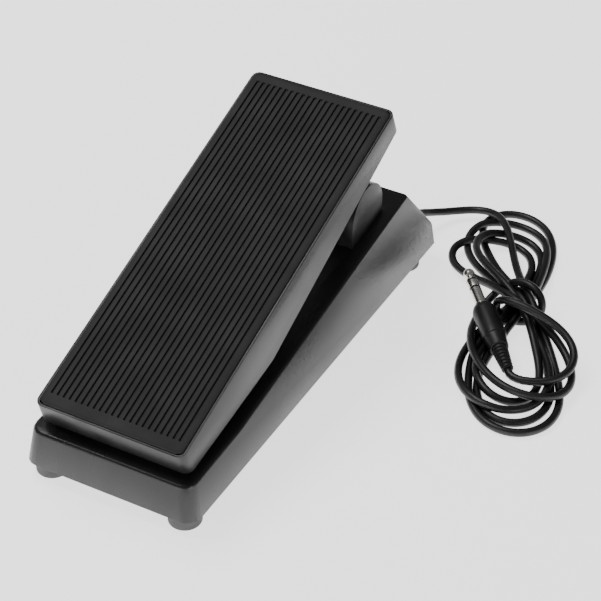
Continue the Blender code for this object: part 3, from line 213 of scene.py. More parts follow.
# millimetres: out of the toe wall, over to the hank, then loop by loop
TURNS = [
    (31, 130.5, 16.5), (31, 135, 16.5), (31, 139.8, 16.2), (31.6, 147.5, 11.3), (36.3, 150.5, 9),
    (44, 163.5, 4.5), (56, 176, 5.5), (69, 170, 9), (82.5, 155, 9.5), (95, 135.5, 9.5),
    (109, 113.5, 12), (122.5, 97.5, 12), (135, 83.5, 7.5), (147.5, 67.5, 3.5), (159, 50, 2),
    (164.5, 32.5, 2), (160, 17, 2), (146.5, 9, 2), (129.5, 14.5, 2), (118, 30, 2),
    (110.5, 52, 2), (108, 76.5, 3.5), (112, 98.5, 4.5), (116, 118, 2.5), (112, 142, 2),
    (105, 166.5, 2), (92.5, 182.5, 2), (80, 185.5, 2), (67, 182, 2), (61, 173, 2),
    (66, 159.5, 2), (79.5, 141, 2.5), (98.5, 116, 8), (117.5, 101, 9), (130, 88, 5),
    (143.5, 67.5, 2), (154.5, 47.5, 2), (157, 29.5, 2), (149.5, 18, 2), (135.5, 15.5, 2),
    (123, 28.5, 2), (113.5, 50.5, 2), (110.5, 78, 3), (113.5, 101, 5), (114.5, 121.5, 6.5),
    (109, 147.5, 5.5), (100.5, 167, 3.5), (90, 174.5, 3), (78, 172, 4), (66.5, 166.5, 5.5),
    (60.5, 158, 5), (60, 147, 3.5), (69.5, 135, 2), (85.5, 123, 4), (104.5, 107, 9),
    (122.5, 94.5, 8.5), (137, 75, 6.5), (151.5, 55, 6.5), (157, 42, 6), (149.5, 31, 5),
    (138.5, 20, 6), (122.5, 21, 6.5), (107, 39, 3.5), (100.5, 62.5, 2), (102.5, 83, 2),
    (107.5, 105.5, 2), (108.5, 129.5, 2), (104, 153.5, 2), (94.5, 165, 3), (84.5, 161, 4.5),
    (75, 155, 8), (69, 143.5, 10.5), (75, 128, 11.5), (89.5, 115.5, 12), (107, 103, 14),
    (124.5, 89, 12), (136, 72, 8.5), (145, 56, 4.5), (148, 42.5, 2.5), (141.5, 30.5, 2.5),
    (129, 29.5, 4.5), (116.5, 40.5, 6.5), (108.5, 62.5, 4), (109, 87, 5), (110, 111, 6),
    (105, 134, 4.5), (96.5, 153.5, 3), (86.5, 157.5, 3), (78.5, 147.5, 5), (67, 146, 6),
    (59, 141.5, 5), (60.5, 125.5, 3.5), (73, 118, 2), (88, 112, 4), (106.5, 97.5, 11.5),
    (127, 88, 16), (143, 82.5, 12.5), (157, 68.5, 8), (163.5, 50.5, 7), (156.5, 36.5, 9),
    (139.5, 33, 10), (122, 39.5, 10.5), (108, 53.5, 9.5), (98.5, 76, 4), (96.5, 95.5, 2.5),
]
# millimetres: twice round the waist of the hank and on to the plug
TIE = [
    (96.6, 101.5, 4.2), (98.4, 106.1, 8.8), (102.5, 108.5, 14.3), (108, 108.3, 18.2), (114.5, 106.7, 19.8),
    (120.5, 104.5, 19.2), (126, 102.4, 15.6), (128.8, 100.5, 10.6), (127.3, 98.5, 5.8), (122.3, 96.3, 3),
    (115.5, 93.9, 2.2), (108.5, 91.4, 3), (103, 89.4, 6.6), (101.2, 88, 12), (103.6, 87.3, 17.3),
    (109, 86.5, 20.9), (116, 85.1, 22), (122.5, 83.8, 22), (129, 82.7, 21.6), (135.5, 82.5, 21),
    (143, 81.5, 20), (149.5, 79.5, 18.5), (155, 75.5, 16.5), (159, 70, 15),
    (160.5, 64, 13.5), (159, 56.5, 12), (155.5, 50.5, 10.5), (151, 46, 9.5), (147, 43.2, 9),
    (142.8, 41.5, 9), (138, 41.5, 8.5),
]
IN_WRAPS = 19                      # points of the tie that go round the waist
CURVE_STEPS = 16                   # points of the smooth curve per chosen point
LINK = 3.0                         # millimetres between the settled points
FINAL_SPACING = 1.5                # millimetres between the points of the finished line
TIGHTEST = 10.5                    # millimetres, the sharpest bend the cord takes by itself
SAG_LIMIT = (2 * LINK) ** 2 / (2 * TIGHTEST)
HOLD = (0.04, 0.04, 0.0)           # share of the way back to the planned place per round
WRAP_HOLD = (0.12, 0.12, 0.12)     # the wraps are springy and keep their own shape
HELD_AT_RELIEF = 4                 # settled points that don't move
HELD_AT_PLUG = 2
BOOT_RUN = 4.0                     # millimetres that the cord runs straight behind the boot

ROUNDS = 420
FALL = 0.02                        # millimetres per round gained by weight
DRAG = 0.85                        # share of the speed kept from round to round
STEP_LIMIT = 0.5                   # millimetres, the furthest a point moves in one go
STIFFNESS = 0.10
BEND_SHARE = 0.6                   # share of a too sharp bend mended per round
CONTACT_SHARE = 0.3                # share of an overlap mended per round
LINK_PASSES = 4
NEIGHBOURS = 4                     # points this close along the cord don't push each other
SEARCH_EVERY = 8                   # rounds between two searches for near points
SEARCH_MARGIN = 3.5

METAL_ROOM = 3.2                   # millimetres round the plug's axis that the cord keeps out of
HANDLE_ROOM = 6.6
BOOT_ROOM = 4.4
BOOT_TAPER = 0.09
PLUG_END_POINTS = 8                # points next to the boot, which the plug doesn't push

EASE_ROUNDS = 160
EASE_FIXED_START = 7
EASE_FIXED_END = 3
EASE_SMOOTHING = 0.02


def smooth_route(points, steps=CURVE_STEPS):
    """Catmull-Rom curve: through every point, its slope half the chord of the two neighbours."""
    led = np.vstack([2 * points[0] - points[1], points, 2 * points[-1] - points[-2]])
    share = np.linspace(0.0, 1.0, steps, endpoint=False)[None, :, None]
    a, b, c, d = (led[k:len(led) - 3 + k, None, :] for k in range(4))
    curve = 0.5 * (2 * b + (c - a) * share + (2 * a - 5 * b + 4 * c - d) * share ** 2
                   + (3 * b - a - 3 * c + d) * share ** 3)
    return np.vstack([curve.reshape(-1, 3), points[-1:]])


def evenly(points, spacing):
    """The same line with points an equal way apart, and that distance."""
    run = np.r_[0.0, np.cumsum(np.linalg.norm(np.diff(points, axis=0), axis=1))]
    count = int(round(run[-1] / spacing))
    stations = np.linspace(0.0, run[-1], count + 1)
    return np.stack([np.interp(stations, run, points[:, k]) for k in range(3)], axis=1), run[-1] / count


def push_off_plug(points, held, tip, aim):
    """Move points out of the space of the plug, a round bar of stepped radius about its axis."""
    along = np.clip((points - tip) @ aim, 0.0, PLUG_WHOLE / MM)
    foot = tip + along[:, None] * aim
    metal, grip = PLUG_EXPOSED / MM, (PLUG_EXPOSED + HANDLE_LENGTH) / MM
    radius = np.where(along < grip, HANDLE_ROOM, BOOT_ROOM - BOOT_TAPER * (along - grip))
    radius = np.where(along < metal, METAL_ROOM, radius)
    away = points - foot
    distance = np.maximum(np.linalg.norm(away, axis=1), 1e-6)
    short = np.maximum(radius + 0.5 * CORD_DIAMETER / MM - distance, 0.0)
    short[held] = 0.0
    points += (0.5 * short / distance)[:, None] * away


def settle(plan, link, held, hold):
    """Let the planned cord sink under its weight, stiff along its length, onto floor and itself."""
    width = CORD_DIAMETER / MM
    place, speed = plan.copy(), np.zeros_like(plan)
    first, second = np.triu_indices(len(plan), NEIGHBOURS)
    free = (~held)[:, None].astype(float)
    tip, plug_end_clear = PLUG_TIP / MM, held.copy()
    plug_end_clear[-PLUG_END_POINTS:] = True
    for turn in range(ROUNDS):
        if turn % SEARCH_EVERY == 0:
            apart = place[second] - place[first]
            near = (apart * apart).sum(axis=1) < (width + SEARCH_MARGIN) ** 2
            near_a, near_b = first[near], second[near]
        speed[:, 2] -= FALL
        moved = place + speed * free
        moved += hold * (plan - moved) * free
        for _ in range(LINK_PASSES):
            for start in (0, 1):
                a = np.arange(start, len(plan) - 1, 2)
                gap = moved[a + 1] - moved[a]
                length = np.linalg.norm(gap, axis=1)
                mend = ((length - link) / np.maximum(length, 1e-9))[:, None] * gap * 0.5
                moved[a] += mend * free[a]
                moved[a + 1] -= mend * free[a + 1]
            for reach, stiffness in ((1, STIFFNESS), (3, STIFFNESS), (2, None)):
                sag = (moved[:-2 * reach] + moved[2 * reach:]) / 2 - moved[reach:-reach]
                if stiffness is None:
                    depth = np.linalg.norm(sag, axis=1)[:, None]
                    over = np.maximum(depth - SAG_LIMIT, 0.0)
                    stiffness = BEND_SHARE * over / np.maximum(depth, 1e-9)
                moved[reach:-reach] += stiffness * sag * free[reach:-reach]
                moved[:-2 * reach] -= 0.5 * stiffness * sag * free[:-2 * reach]
                moved[2 * reach:] -= 0.5 * stiffness * sag * free[2 * reach:]
            gap = moved[near_b] - moved[near_a]
            distance = np.linalg.norm(gap, axis=1)
            hit = distance < width
            share = (width - distance[hit]) / np.maximum(distance[hit], 1e-6)
            part = share[:, None] * gap[hit] * CONTACT_SHARE
            shove = np.zeros_like(moved)
            np.add.at(shove, near_a[hit], -part)
            np.add.at(shove, near_b[hit], part)
            moved += np.clip(shove, -STEP_LIMIT, STEP_LIMIT) * free
            moved[:, 2] = np.where(held, moved[:, 2], np.maximum(moved[:, 2], width / 2))
            push_off_plug(moved, plug_end_clear, tip, PLUG_AIM)
        speed = np.clip((moved - place) * DRAG, -STEP_LIMIT, STEP_LIMIT)
        place = moved
    return place


def eased(line, spacing):
    """Open out bends sharper than TIGHTEST: each point moves towards the middle of its chord by the
    share of its sag that is over the limit, and what is on either side moves back by half."""
    line = line.copy()
    free = np.ones((len(line), 1))
    free[:EASE_FIXED_START] = 0.0
    free[-EASE_FIXED_END:] = 0.0
    for _ in range(EASE_ROUNDS):
        for reach in (2, 4, 6):
            limit = (reach * spacing) ** 2 / (2 * TIGHTEST)
            sag = (line[:-2 * reach] + line[2 * reach:]) / 2 - line[reach:-reach]
            depth = np.linalg.norm(sag, axis=1)[:, None]
            share = 0.5 * np.maximum(depth - limit, 0.0) / np.maximum(depth, 1e-9)
            line[reach:-reach] += share * sag * free[reach:-reach]
            line[:-2 * reach] -= 0.5 * share * sag * free[:-2 * reach]
            line[2 * reach:] -= 0.5 * share * sag * free[2 * reach:]
        line[1:-1] += EASE_SMOOTHING * ((line[:-2] + line[2:]) / 2 - line[1:-1]) * free[1:-1]
    line[:, 2] = np.maximum(line[:, 2], 0.5 * CORD_DIAMETER / MM)
    return line


def cord_line():
    """Settled centreline of the cord, in metres."""
    plug_end = (PLUG_TIP + PLUG_AIM * PLUG_WHOLE) / MM
    ends = [tuple(plug_end + PLUG_AIM * BOOT_RUN), tuple(plug_end)]
    route = np.array(TURNS + TIE + ends, dtype=float)
    fine = smooth_route(route)
    run = np.r_[0.0, np.cumsum(np.linalg.norm(np.diff(fine, axis=0), axis=1))][::CURVE_STEPS]
    plan, link = evenly(fine, LINK)
    held = np.zeros(len(plan), dtype=bool)
    held[:HELD_AT_RELIEF] = True
    held[-HELD_AT_PLUG:] = True
    place = np.arange(len(plan)) * link
    in_wraps = (place > run[len(TURNS)]) & (place < run[len(TURNS) + IN_WRAPS])
    rest = settle(plan, link, held, np.where(in_wraps[:, None], WRAP_HOLD, HOLD))
    line, spacing = evenly(smooth_route(rest, 4), FINAL_SPACING)
    return eased(line, spacing) * MM


def make_cord():
    """The cord as one tube from the relief to the plug's boot; gives its centreline and length."""
    line = cord_line()
    cord = swept("cord", line, CORD_DIAMETER / 2)
    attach(cord, "base")
    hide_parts("cord_lead", "cord_hank", "cord_tail")
    cord.data.materials.append(cord_jacket())
    return line.tolist(), float(np.linalg.norm(np.diff(line, axis=0), axis=1).sum())


# ================================================================ materials
LEAN_START, LEAN_FULL = 0.02, 0.20     # loss of the cosine where the edge mask starts and where it is full; on the moulded plastic this mask is rubbed wear and a painted highlight


class Look:
    """A node material being put together: object coordinates in, one Principled shader out."""

    def __init__(self, name, metal=0.0):
        self.material = bpy.data.materials.new(name)
        self.material.use_nodes = True
        self.tree = self.material.node_tree
        self.shader = self.tree.nodes["Principled BSDF"]
        self.shader.inputs["Metallic"].default_value = metal
        self.source = self.node("ShaderNodeTexCoord").outputs["Object"]
        self.bump_out = None

    def node(self, kind, **values):
        made = self.tree.nodes.new(kind)
        for key, value in values.items():
            if hasattr(made, key) and key not in made.inputs:
                setattr(made, key, value)
            else:
                made.inputs[key].default_value = value
        return made

    def link(self, start, stop):
        self.tree.links.new(start, stop)

    def noise(self, scale, detail=2.0, stretch=None, source=None):
        texture = self.node("ShaderNodeTexNoise", Scale=scale, Detail=detail)
        start = source or self.source
        if stretch:
            mapping = self.node("ShaderNodeMapping", Scale=stretch)
            self.link(start, mapping.inputs["Vector"])
            start = mapping.outputs["Vector"]
        self.link(start, texture.inputs["Vector"])
        return texture.outputs["Fac"]

    def ranged(self, value, low, high, start=0.3, stop=0.7):
        change = self.node("ShaderNodeMapRange")
        for slot, number in zip(("From Min", "From Max", "To Min", "To Max"), (start, stop, low, high)):
            change.inputs[slot].default_value = number
        self.link(value, change.inputs["Value"])
        return change.outputs["Result"]

    def blend(self, factor, first, second):
        mix = self.node("ShaderNodeMix", data_type='RGBA')
        for slot, value in ((6, first), (7, second)):
            if isinstance(value, tuple):
                mix.inputs[slot].default_value = (*value, 1.0)
            else:
                self.link(value, mix.inputs[slot])
        self.link(factor, mix.inputs[0])
        return mix.outputs[2]

    def product(self, first, second):
        times = self.node("ShaderNodeMath", operation='MULTIPLY')
        self.link(first, times.inputs[0])
        self.link(second, times.inputs[1])
        return times.outputs[0]

    def edges(self, radius=0.7 * MM):
        """Mask that is 1 on edges: how far a rounded normal leans from the true one."""
        soft = self.node("ShaderNodeBevel", samples=4, Radius=radius)
        true = self.node("ShaderNodeNewGeometry")
        dot = self.node("ShaderNodeVectorMath", operation='DOT_PRODUCT')
        self.link(soft.outputs["Normal"], dot.inputs[0])
        self.link(true.outputs["Normal"], dot.inputs[1])
        return self.ranged(dot.outputs["Value"], 1.0, 0.0, 1.0 - LEAN_FULL, 1.0 - LEAN_START)

    def colour(self, socket):
        self.link(socket, self.shader.inputs["Base Color"])

    def roughness(self, socket):
        self.link(socket, self.shader.inputs["Roughness"])

    def bump(self, height, distance, strength=1.0):
        relief = self.node("ShaderNodeBump", Strength=strength, Distance=distance)
        self.link(height, relief.inputs["Height"])
        if self.bump_out is not None:
            self.link(self.bump_out, relief.inputs["Normal"])
        self.bump_out = relief.outputs["Normal"]
        self.link(self.bump_out, self.shader.inputs["Normal"])


LOOKS = {}


def once(maker):
    """Each material is made one time and shared."""
    def shared():
        if maker.__name__ not in LOOKS:
            LOOKS[maker.__name__] = maker()
        return LOOKS[maker.__name__]
    return shared


def moulded(name, dark, light, rubbed_and_lit_edge, rough):
    """Moulded plastic: sparked grain, cloudy colour, edges lightened partly as rubbed wear and partly as a
    painted highlight, and a few soft scuffs.
    """
    look = Look(name)
    cloud = look.ranged(look.noise(26.0, 4.0), 0.0, 1.0)
    body = look.blend(cloud, dark, light)
    # the edge mask lightens the colour: partly rubbed wear, partly a painted edge highlight
    edge_wear_and_highlight = look.product(look.edges(), look.ranged(look.noise(180.0, 3.0), 0.15, 1.0))
    look.colour(look.blend(edge_wear_and_highlight, body, rubbed_and_lit_edge))
    scuff = look.noise(14.0, 5.0, stretch=(7.0, 1.0, 1.0))
    look.roughness(look.ranged(scuff, rough - 0.07, rough + 0.09))
    look.bump(look.noise(2200.0, 2.0), 0.00012, 0.75)
    look.bump(look.noise(650.0, 3.0), 0.00010, 0.45)
    return look.material


@once
def base_plastic():
    # third colour is the edge colour: rubbed wear and a painted highlight
    return moulded("base_plastic", (0.0058, 0.0061, 0.0063), (0.0092, 0.0096, 0.0098),
                   (0.030, 0.030, 0.030), 0.30)


@once
def treadle_plastic():
    # third colour is the edge colour: rubbed wear and a painted highlight
    return moulded("treadle_plastic", (0.0070, 0.0073, 0.0074), (0.0108, 0.0111, 0.0112),
                   (0.036, 0.036, 0.036), 0.38)


@once
def mat_rubber():
    look = Look("mat_rubber")
    dusty = look.ranged(look.noise(38.0, 5.0), 0.0, 1.0, 0.35, 0.75)
    look.colour(look.blend(dusty, (0.0062, 0.0070, 0.0067), (0.0084, 0.0093, 0.0090)))
    look.roughness(look.ranged(look.noise(55.0, 4.0), 0.62, 0.70))
    look.bump(look.noise(3200.0, 2.0), 0.00005, 0.6)
    look.bump(look.noise(420.0, 3.0), 0.00006, 0.3)
    return look.material


@once
def foot_rubber():
    look = Look("foot_rubber")
    patch = look.ranged(look.noise(90.0, 4.0), 0.0, 1.0)
    look.colour(look.blend(patch, (0.060, 0.060, 0.060), (0.095, 0.095, 0.093)))
    look.roughness(look.ranged(look.noise(140.0, 3.0), 0.62, 0.80))
    look.bump(look.noise(1500.0, 2.0), 0.00006, 0.5)
    return look.material


@once
def cord_jacket():
    """Flexible jacket: fine lengthwise drawing marks on the cord's own run, faint powdery patches."""
    look = Look("cord_jacket")
    patch = look.ranged(look.noise(70.0, 4.0), 0.0, 1.0)
    look.colour(look.blend(patch, (0.0045, 0.0046, 0.0050), (0.0085, 0.0088, 0.0092)))
    run = look.node("ShaderNodeTexCoord").outputs["UV"]
    drawn = look.noise(60.0, 3.0, stretch=(0.8, 1.0, 1.0), source=run)
    look.roughness(look.ranged(look.noise(95.0, 3.0), 0.36, 0.52))
    look.bump(drawn, 0.00004, 0.35)
    look.bump(look.noise(1600.0, 2.0), 0.00003, 0.4)
    return look.material


@once
def moulded_black():
    look = Look("moulded_black")
    patch = look.ranged(look.noise(80.0, 4.0), 0.0, 1.0)
    look.colour(look.blend(patch, (0.0045, 0.0045, 0.0048), (0.0085, 0.0085, 0.0088)))
    look.roughness(look.ranged(look.noise(120.0, 3.0), 0.38, 0.56))
    look.bump(look.noise(2400.0, 2.0), 0.00004, 0.5)
    return look.material


def metal(name, tint, shade, rough, drawn):
    """Bare metal: two close tints, and fine lines drawn out by the stretch of their noise."""
    look = Look(name, metal=1.0)
    look.colour(look.blend(look.ranged(look.noise(160.0, 4.0), 0.0, 1.0), tint, shade))
    lines = look.noise(420.0, 4.0, stretch=drawn)
    look.roughness(look.ranged(lines, rough - 0.06, rough + 0.10))
    look.bump(lines, 0.00001, 0.5)
    return look.material


@once
def steel():
    return metal("steel", (0.56, 0.56, 0.55), (0.66, 0.66, 0.64), 0.30, (1.0, 6.0, 6.0))


@once
def nickel():
    return metal("nickel", (0.80, 0.77, 0.72), (0.88, 0.86, 0.82), 0.24, (4.0, 4.0, 4.0))


@once
def pot_metal():
    return metal("pot_metal", (0.36, 0.36, 0.35), (0.48, 0.48, 0.46), 0.36, (3.0, 1.0, 3.0))


@once
def plate_steel():
    look = Look("plate_steel", metal=0.2)
    chips = look.product(look.edges(0.5 * MM), look.ranged(look.noise(300.0, 3.0), 0.0, 0.8))
    patch = look.ranged(look.noise(40.0, 4.0), 0.0, 1.0)
    body = look.blend(patch, (0.018, 0.018, 0.019), (0.032, 0.032, 0.033))
    look.colour(look.blend(chips, body, (0.34, 0.34, 0.33)))
    look.roughness(look.ranged(look.noise(75.0, 3.0), 0.42, 0.62))
    look.bump(look.noise(900.0, 3.0), 0.00006, 0.5)
    return look.material


def milky(name, dark, light, rough):
    """Unpainted nylon or acetal: pale, slightly waxy, a little shaded by handling."""
    look = Look(name)
    look.colour(look.blend(look.ranged(look.noise(120.0, 4.0), 0.0, 1.0), dark, light))
    look.roughness(look.ranged(look.noise(300.0, 3.0), rough - 0.06, rough + 0.08))
    look.bump(look.noise(1400.0, 2.0), 0.00003, 0.4)
    look.shader.inputs["Subsurface Weight"].default_value = 0.08
    look.shader.inputs["Subsurface Radius"].default_value = (0.002, 0.002, 0.0018)
    return look.material


@once
def nylon():
    return milky("nylon", (0.66, 0.65, 0.59), (0.76, 0.75, 0.70), 0.42)


@once
def acetal():
    return milky("acetal", (0.72, 0.71, 0.67), (0.82, 0.81, 0.78), 0.34)


@once
def board():
    """Lacquered laminate: woven glass showing faintly under green lacquer."""
    look = Look("board")
    weave = look.node("ShaderNodeTexWave", Scale=900.0, Distortion=0.6)
    look.link(look.source, weave.inputs["Vector"])
    patch = look.ranged(look.noise(60.0, 3.0), 0.0, 1.0)
    tint = look.blend(patch, (0.012, 0.080, 0.038), (0.020, 0.115, 0.055))
    look.colour(look.blend(look.ranged(weave.outputs["Fac"], 0.0, 0.35), tint, (0.05, 0.17, 0.09)))
    look.roughness(look.ranged(look.noise(200.0, 3.0), 0.22, 0.40))
    look.bump(weave.outputs["Fac"], 0.00002, 0.4)
    return look.material


@once
def insulator():
    look = Look("insulator")
    patch = look.ranged(look.noise(300.0, 3.0), 0.0, 1.0)
    look.colour(look.blend(patch, (0.008, 0.008, 0.008), (0.015, 0.015, 0.015)))
    look.roughness(look.ranged(look.noise(500.0, 2.0), 0.26, 0.42))
    look.bump(look.noise(1800.0, 2.0), 0.00002, 0.3)
    return look.material


MAKERS = {"base_plastic": base_plastic, "treadle_plastic": treadle_plastic, "mat_rubber": mat_rubber,
          "foot_rubber": foot_rubber, "plate_steel": plate_steel, "steel": steel, "nickel": nickel,
          "nylon": nylon, "acetal": acetal, "board": board, "pot_metal": pot_metal,
          "cord_jacket": cord_jacket, "moulded_black": moulded_black, "insulator": insulator}


def dress_nodes():
    """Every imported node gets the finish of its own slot."""
    for part in frame["record"]["subparts"]:
        obj = frame["nodes"][part["node"]]
        obj.data.materials.clear()
        obj.data.materials.append(MAKERS[part["material_slot"]]())


# ================================================================ treadle and base
TILT = math.radians(18.23)
PIVOT = (0.0, -0.04395, 0.0507)
TREADLE_FRAME = Matrix.Translation(PIVOT) @ Matrix.Rotation(TILT, 4, 'X')
SHARP_EDGE = math.radians(48)
FLAT_ENOUGH = math.radians(0.6)
BASE_ROUNDING = 0.35 * MM
TREADLE_ROUNDING = 0.40 * MM


def refined(name, node, body, width):
    """Copy of a packed shell, its points merged and flat faces joined, with its edges rounded over."""
    made = bpy.data.objects.new(name, frame["nodes"][node].data.copy())
    bpy.context.scene.collection.objects.link(made)
    bm = bmesh.new()
    bm.from_mesh(made.data)
    bmesh.ops.remove_doubles(bm, verts=bm.verts, dist=2e-6)
    bmesh.ops.dissolve_limit(bm, angle_limit=FLAT_ENOUGH, verts=bm.verts, edges=bm.edges)
    bm.to_mesh(made.data)
    bm.free()
    made.data.shade_smooth()
    rounding = made.modifiers.new("rounding", 'BEVEL')
    rounding.width = width
    rounding.segments = 2
    rounding.limit_method = 'ANGLE'
    rounding.angle_limit = SHARP_EDGE
    rounding.harden_normals = True
    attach(made, body)
    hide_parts(node)
    return made


def finish(obj, slot):
    obj.data.materials.clear()
    obj.data.materials.append(MAKERS[slot]())


def make_shells():
    finish(refined("base_shell_rounded", "base_shell", "base", BASE_ROUNDING), "base_plastic")
    finish(refined("treadle_shell_rounded", "treadle_shell", "treadle", TREADLE_ROUNDING),
           "treadle_plastic")


# ================================================================ mat
# in the treadle's own frame, origin on the axle
MAT_HALF = 40.150 * MM
MAT_HEEL, MAT_TOE = -78.50 * MM, 145.10 * MM
MAT_CORNER = 3.0 * MM
MAT_BOTTOM, MAT_TOP = 18.3 * MM, 20.9 * MM
MAT_EDGE = 0.35 * MM
SHARP_MAT = math.radians(50)
GROOVE_COUNT = 22
GROOVE_PITCH = 3.42 * MM
GROOVE_HALF = 0.85 * MM
GROOVE_DEPTH = 1.0 * MM
GROOVE_FROM, GROOVE_TO = -72.0 * MM, 140.2 * MM
GROOVE_SLOPE = 0.28 * MM        # width over which a groove's wall eases, a little of it on the rib
GROOVE_SLOPE_OUT = 0.08 * MM


def groove_depth(x, y):
    """1 in a groove and 0 on a rib: distance to the nearest groove's middle line, which stops half a
    groove short of its ends, eased across the slope at the groove's edge."""
    number = np.clip(np.round(x / GROOVE_PITCH + (GROOVE_COUNT - 1) / 2), 0, GROOVE_COUNT - 1)
    across = x - (number - (GROOVE_COUNT - 1) / 2) * GROOVE_PITCH
    past = np.maximum(np.maximum(GROOVE_FROM + GROOVE_HALF - y, y - GROOVE_TO + GROOVE_HALF), 0.0)
    depth = GROOVE_HALF + GROOVE_SLOPE_OUT - np.hypot(across, past)
    inside = np.clip(depth / GROOVE_SLOPE, 0.0, 1.0)
    return inside * inside * (3 - 2 * inside)


def mat_columns():
    """Places across the mat: close together at both walls of every groove."""
    middle = (np.arange(GROOVE_COUNT) - (GROOVE_COUNT - 1) / 2) * GROOVE_PITCH
    wall = np.array([-0.95, -0.86, -0.76, -0.64, -0.3, 0.3, 0.64, 0.76, 0.86, 0.95]) * MM
    edge = MAT_HALF - MAT_EDGE * np.array([0.0, 0.0, 0.3, 1.0])
    return np.concatenate([-edge, (middle[:, None] + wall).ravel(), edge[::-1]])


def mat_rows():
    """Shares of the way from heel edge to toe edge: close together where the grooves end."""
    length = MAT_TOE - MAT_HEEL
    heel = np.concatenate([[0.0, 0.0, 0.3 * MAT_EDGE, MAT_EDGE], np.linspace(2.0, 5.0, 4) * MM,
                           GROOVE_FROM - MAT_HEEL + np.linspace(-0.15, 1.2, 10) * MM])
    toe = np.concatenate([MAT_TOE - GROOVE_TO + np.linspace(1.2, -0.15, 10) * MM,
                          np.linspace(3.6, 2.0, 3) * MM, [MAT_EDGE, 0.3 * MAT_EDGE, 0.0, 0.0]])
    middle = np.linspace(heel[-1], length - toe[0], 42)[1:-1]
    return np.concatenate([heel, middle, length - toe]) / length


def make_mat():
    """Height over the grid (x, share): the top less the groove depth, easing to the edge, and the
    outermost ring down at the bottom.  Each column of the grid ends on the rounded outline."""
    x, share = np.meshgrid(mat_columns(), mat_rows(), indexing="ij")
    into = np.maximum(np.abs(x) - (MAT_HALF - MAT_CORNER), 0.0)
    cut = MAT_CORNER - np.sqrt(np.maximum(MAT_CORNER ** 2 - into ** 2, 0.0))
    y = MAT_HEEL + cut + share * (MAT_TOE - MAT_HEEL - 2 * cut)
    z = MAT_TOP - GROOVE_DEPTH * groove_depth(x, y)
    last_x, last_y = x.shape[0] - 1, x.shape[1] - 1
    column, row = np.indices(x.shape)
    rim = np.minimum(np.minimum(column, last_x - column), np.minimum(row, last_y - row))
    z = np.where(rim == 0, MAT_BOTTOM, z)
    z = np.where(rim == 1, MAT_TOP - MAT_EDGE, z)
    z = np.where(rim == 2, MAT_TOP - 0.3 * MAT_EDGE, z)
    grid = np.stack([x, y, z], axis=-1).reshape(-1, 3)
    faces = lattice(x.shape[0], x.shape[1], around=False).tolist()
    number = np.arange(x.size).reshape(x.shape)
    ring = np.concatenate([number[0, :], number[1:, -1], number[-1, -2::-1], number[-2:0:-1, 0]])
    faces.append(ring.tolist())
    turn = np.array(TREADLE_FRAME)
    mat = add_object("ribbed_mat", grid @ turn[:3, :3].T + turn[:3, 3], faces)
    mat.data.set_sharp_from_angle(angle=SHARP_MAT)
    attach(mat, "treadle")
    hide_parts("tread_mat")
    finish(mat, "mat_rubber")


# ================================================================ turned pieces
# profiles are (radius, height) in millimetres
SHARP_TURNED = math.radians(40)
CONTACT = 3.175                 # radius of the metal of a 6.35 mm plug
BAND = 3.075
COLLAR = 3.875
GRIP = 6.6
FIN_COUNT = 7
FIN_LARGEST, FIN_SMALLEST = 4.4, 3.2
FIN_DEPTH = 0.8
RELIEF_BORE = 2.25
RELIEF_NECK = 3.4
RELIEF_FLANGE = 5.0
FOOT_RADIUS = 8.5
FOOT_BORE, FOOT_RECESS = 1.7, 3.4
FOOT_HEIGHT, RECESS_DEPTH = 7.9, 5.6
FOOT_X = 38.0
FOOT_HEEL, FOOT_TOE = -120.25, 114.25


def make_turned(name, node, profile, matrix, slot, sides=64):
    made = turned(name, np.array(profile) * MM, matrix, sides)
    made.data.set_sharp_from_angle(angle=SHARP_TURNED)
    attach(made, "base")
    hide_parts(node)
    finish(made, slot)


def plug_matrix():
    turn = Vector((0.0, 0.0, 1.0)).rotation_difference(Vector(PLUG_AIM)).to_matrix().to_4x4()
    return Matrix.Translation(Vector(PLUG_TIP)) @ turn


def tip_profile():
    """Nose (CONTACT sin(a)^0.8, 3.9 (1 - cos a)) for a quarter turn a, then the waist and shoulder."""
    turn = np.linspace(0.0, 1.0, 14) * math.pi / 2
    nose = np.stack([CONTACT * np.sin(turn) ** 0.8, 3.9 * (1 - np.cos(turn))], axis=1)
    rest = rounded([(CONTACT, 3.9), (CONTACT, 4.5), (1.9, 6.1), (1.9, 7.0), (2.95, 8.2), (2.98, 9.0),
                    (0, 9.0)], 0.35)
    return np.vstack([nose, rest[1:]])


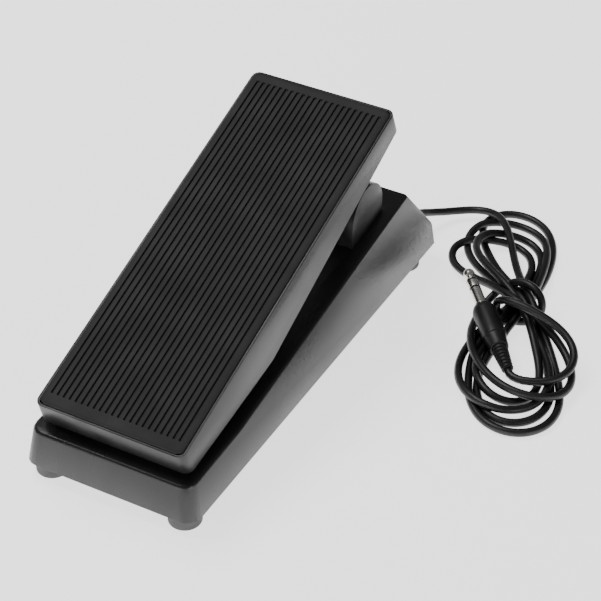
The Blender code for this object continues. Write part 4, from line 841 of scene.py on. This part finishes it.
def make_plug():
    place = plug_matrix()
    make_turned("tip_contact", "plug_tip", tip_profile(), place, "nickel")
    for name, node, low, high, radius, slot in (
            ("tip_band", "plug_insulator_tip", 9.1, 10.3, BAND, "insulator"),
            ("ring_contact", "plug_ring", 10.4, 15.4, CONTACT, "nickel"),
            ("ring_band", "plug_insulator_ring", 15.5, 16.7, BAND, "insulator")):
        outline = rounded([(0, low), (radius, low), (radius, high), (0, high)], 0.12)
        make_turned(name, node, outline, place, slot)
    sleeve = rounded([(0, 16.8), (CONTACT, 16.8), (CONTACT, 28.5), (COLLAR, 28.8), (COLLAR, 30.5),
                      (0, 30.5)], 0.18)
    make_turned("sleeve_contact", "plug_sleeve", sleeve, place, "nickel")
    handle = rounded([(0, 30.8), (4.9, 30.8), (5.6, 31.6), (GRIP, 34.8), (GRIP, 54.8), (6.0, 55.8),
                      (5.2, 63.3), (4.8, 63.8), (0, 63.8)], 0.55)
    make_turned("handle_moulding", "plug_handle", handle, place, "moulded_black")
    boot = [(0, 64.1)]
    lows = 64.1 + np.arange(FIN_COUNT) * 16.0 / FIN_COUNT
    for low, fin in zip(lows, np.linspace(FIN_LARGEST, FIN_SMALLEST, FIN_COUNT)):
        boot += [(fin, low + 0.02), (fin, low + 1.42),
                 (fin - FIN_DEPTH, low + 1.52), (fin - FIN_DEPTH, low + 2.2)]
    boot += [(2.7, 80.1), (0, 80.1)]
    make_turned("finned_boot", "plug_boot", rounded(boot, 0.22, 3), place, "moulded_black")


def make_relief():
    """Tapered sleeve with a round flange on either side of the toe wall and a rounded mouth."""
    place = Matrix.Translation(CORD_EXIT) @ Matrix.Rotation(-math.pi / 2, 4, 'X')
    body = [(RELIEF_BORE, -5.1), (RELIEF_FLANGE, -5.1), (RELIEF_FLANGE, -3.1), (RELIEF_NECK, -3.1),
            (RELIEF_NECK, 0.3), (RELIEF_FLANGE, 0.3), (RELIEF_FLANGE, 1.8), (4.35, 2.4), (3.1, 9.5),
            (RELIEF_BORE, 9.5)]
    outline = np.vstack([rounded(body, 0.25, 3), [body[0]]])
    make_turned("relief_sleeve", "cord_relief", outline, place, "moulded_black", 48)


def make_feet():
    """Moulded foot: straight wall, rolled lower edge and a bored recess round its screw."""
    body = [(FOOT_BORE, RECESS_DEPTH), (FOOT_RECESS, RECESS_DEPTH), (FOOT_RECESS, 0.05), (7.8, 0.0),
            (FOOT_RADIUS, 0.7), (FOOT_RADIUS, 7.55), (8.15, FOOT_HEIGHT), (FOOT_BORE, FOOT_HEIGHT)]
    outline = np.vstack([rounded(body, 0.5, 4), [body[0]]])
    for side, x in (("left", -FOOT_X), ("right", FOOT_X)):
        for end, y in (("heel", FOOT_HEEL), ("toe", FOOT_TOE)):
            node = "foot_%s_%s" % (end, side)
            place = Matrix.Translation((x * MM, y * MM, 0.0))
            make_turned("rubber_" + node, node, outline, place, "foot_rubber", 48)


make_camera()
cord_path, cord_length = make_cord()
dress_nodes()
make_shells()
make_mat()
make_plug()
make_relief()
make_feet()
make_studio()
make_floor()
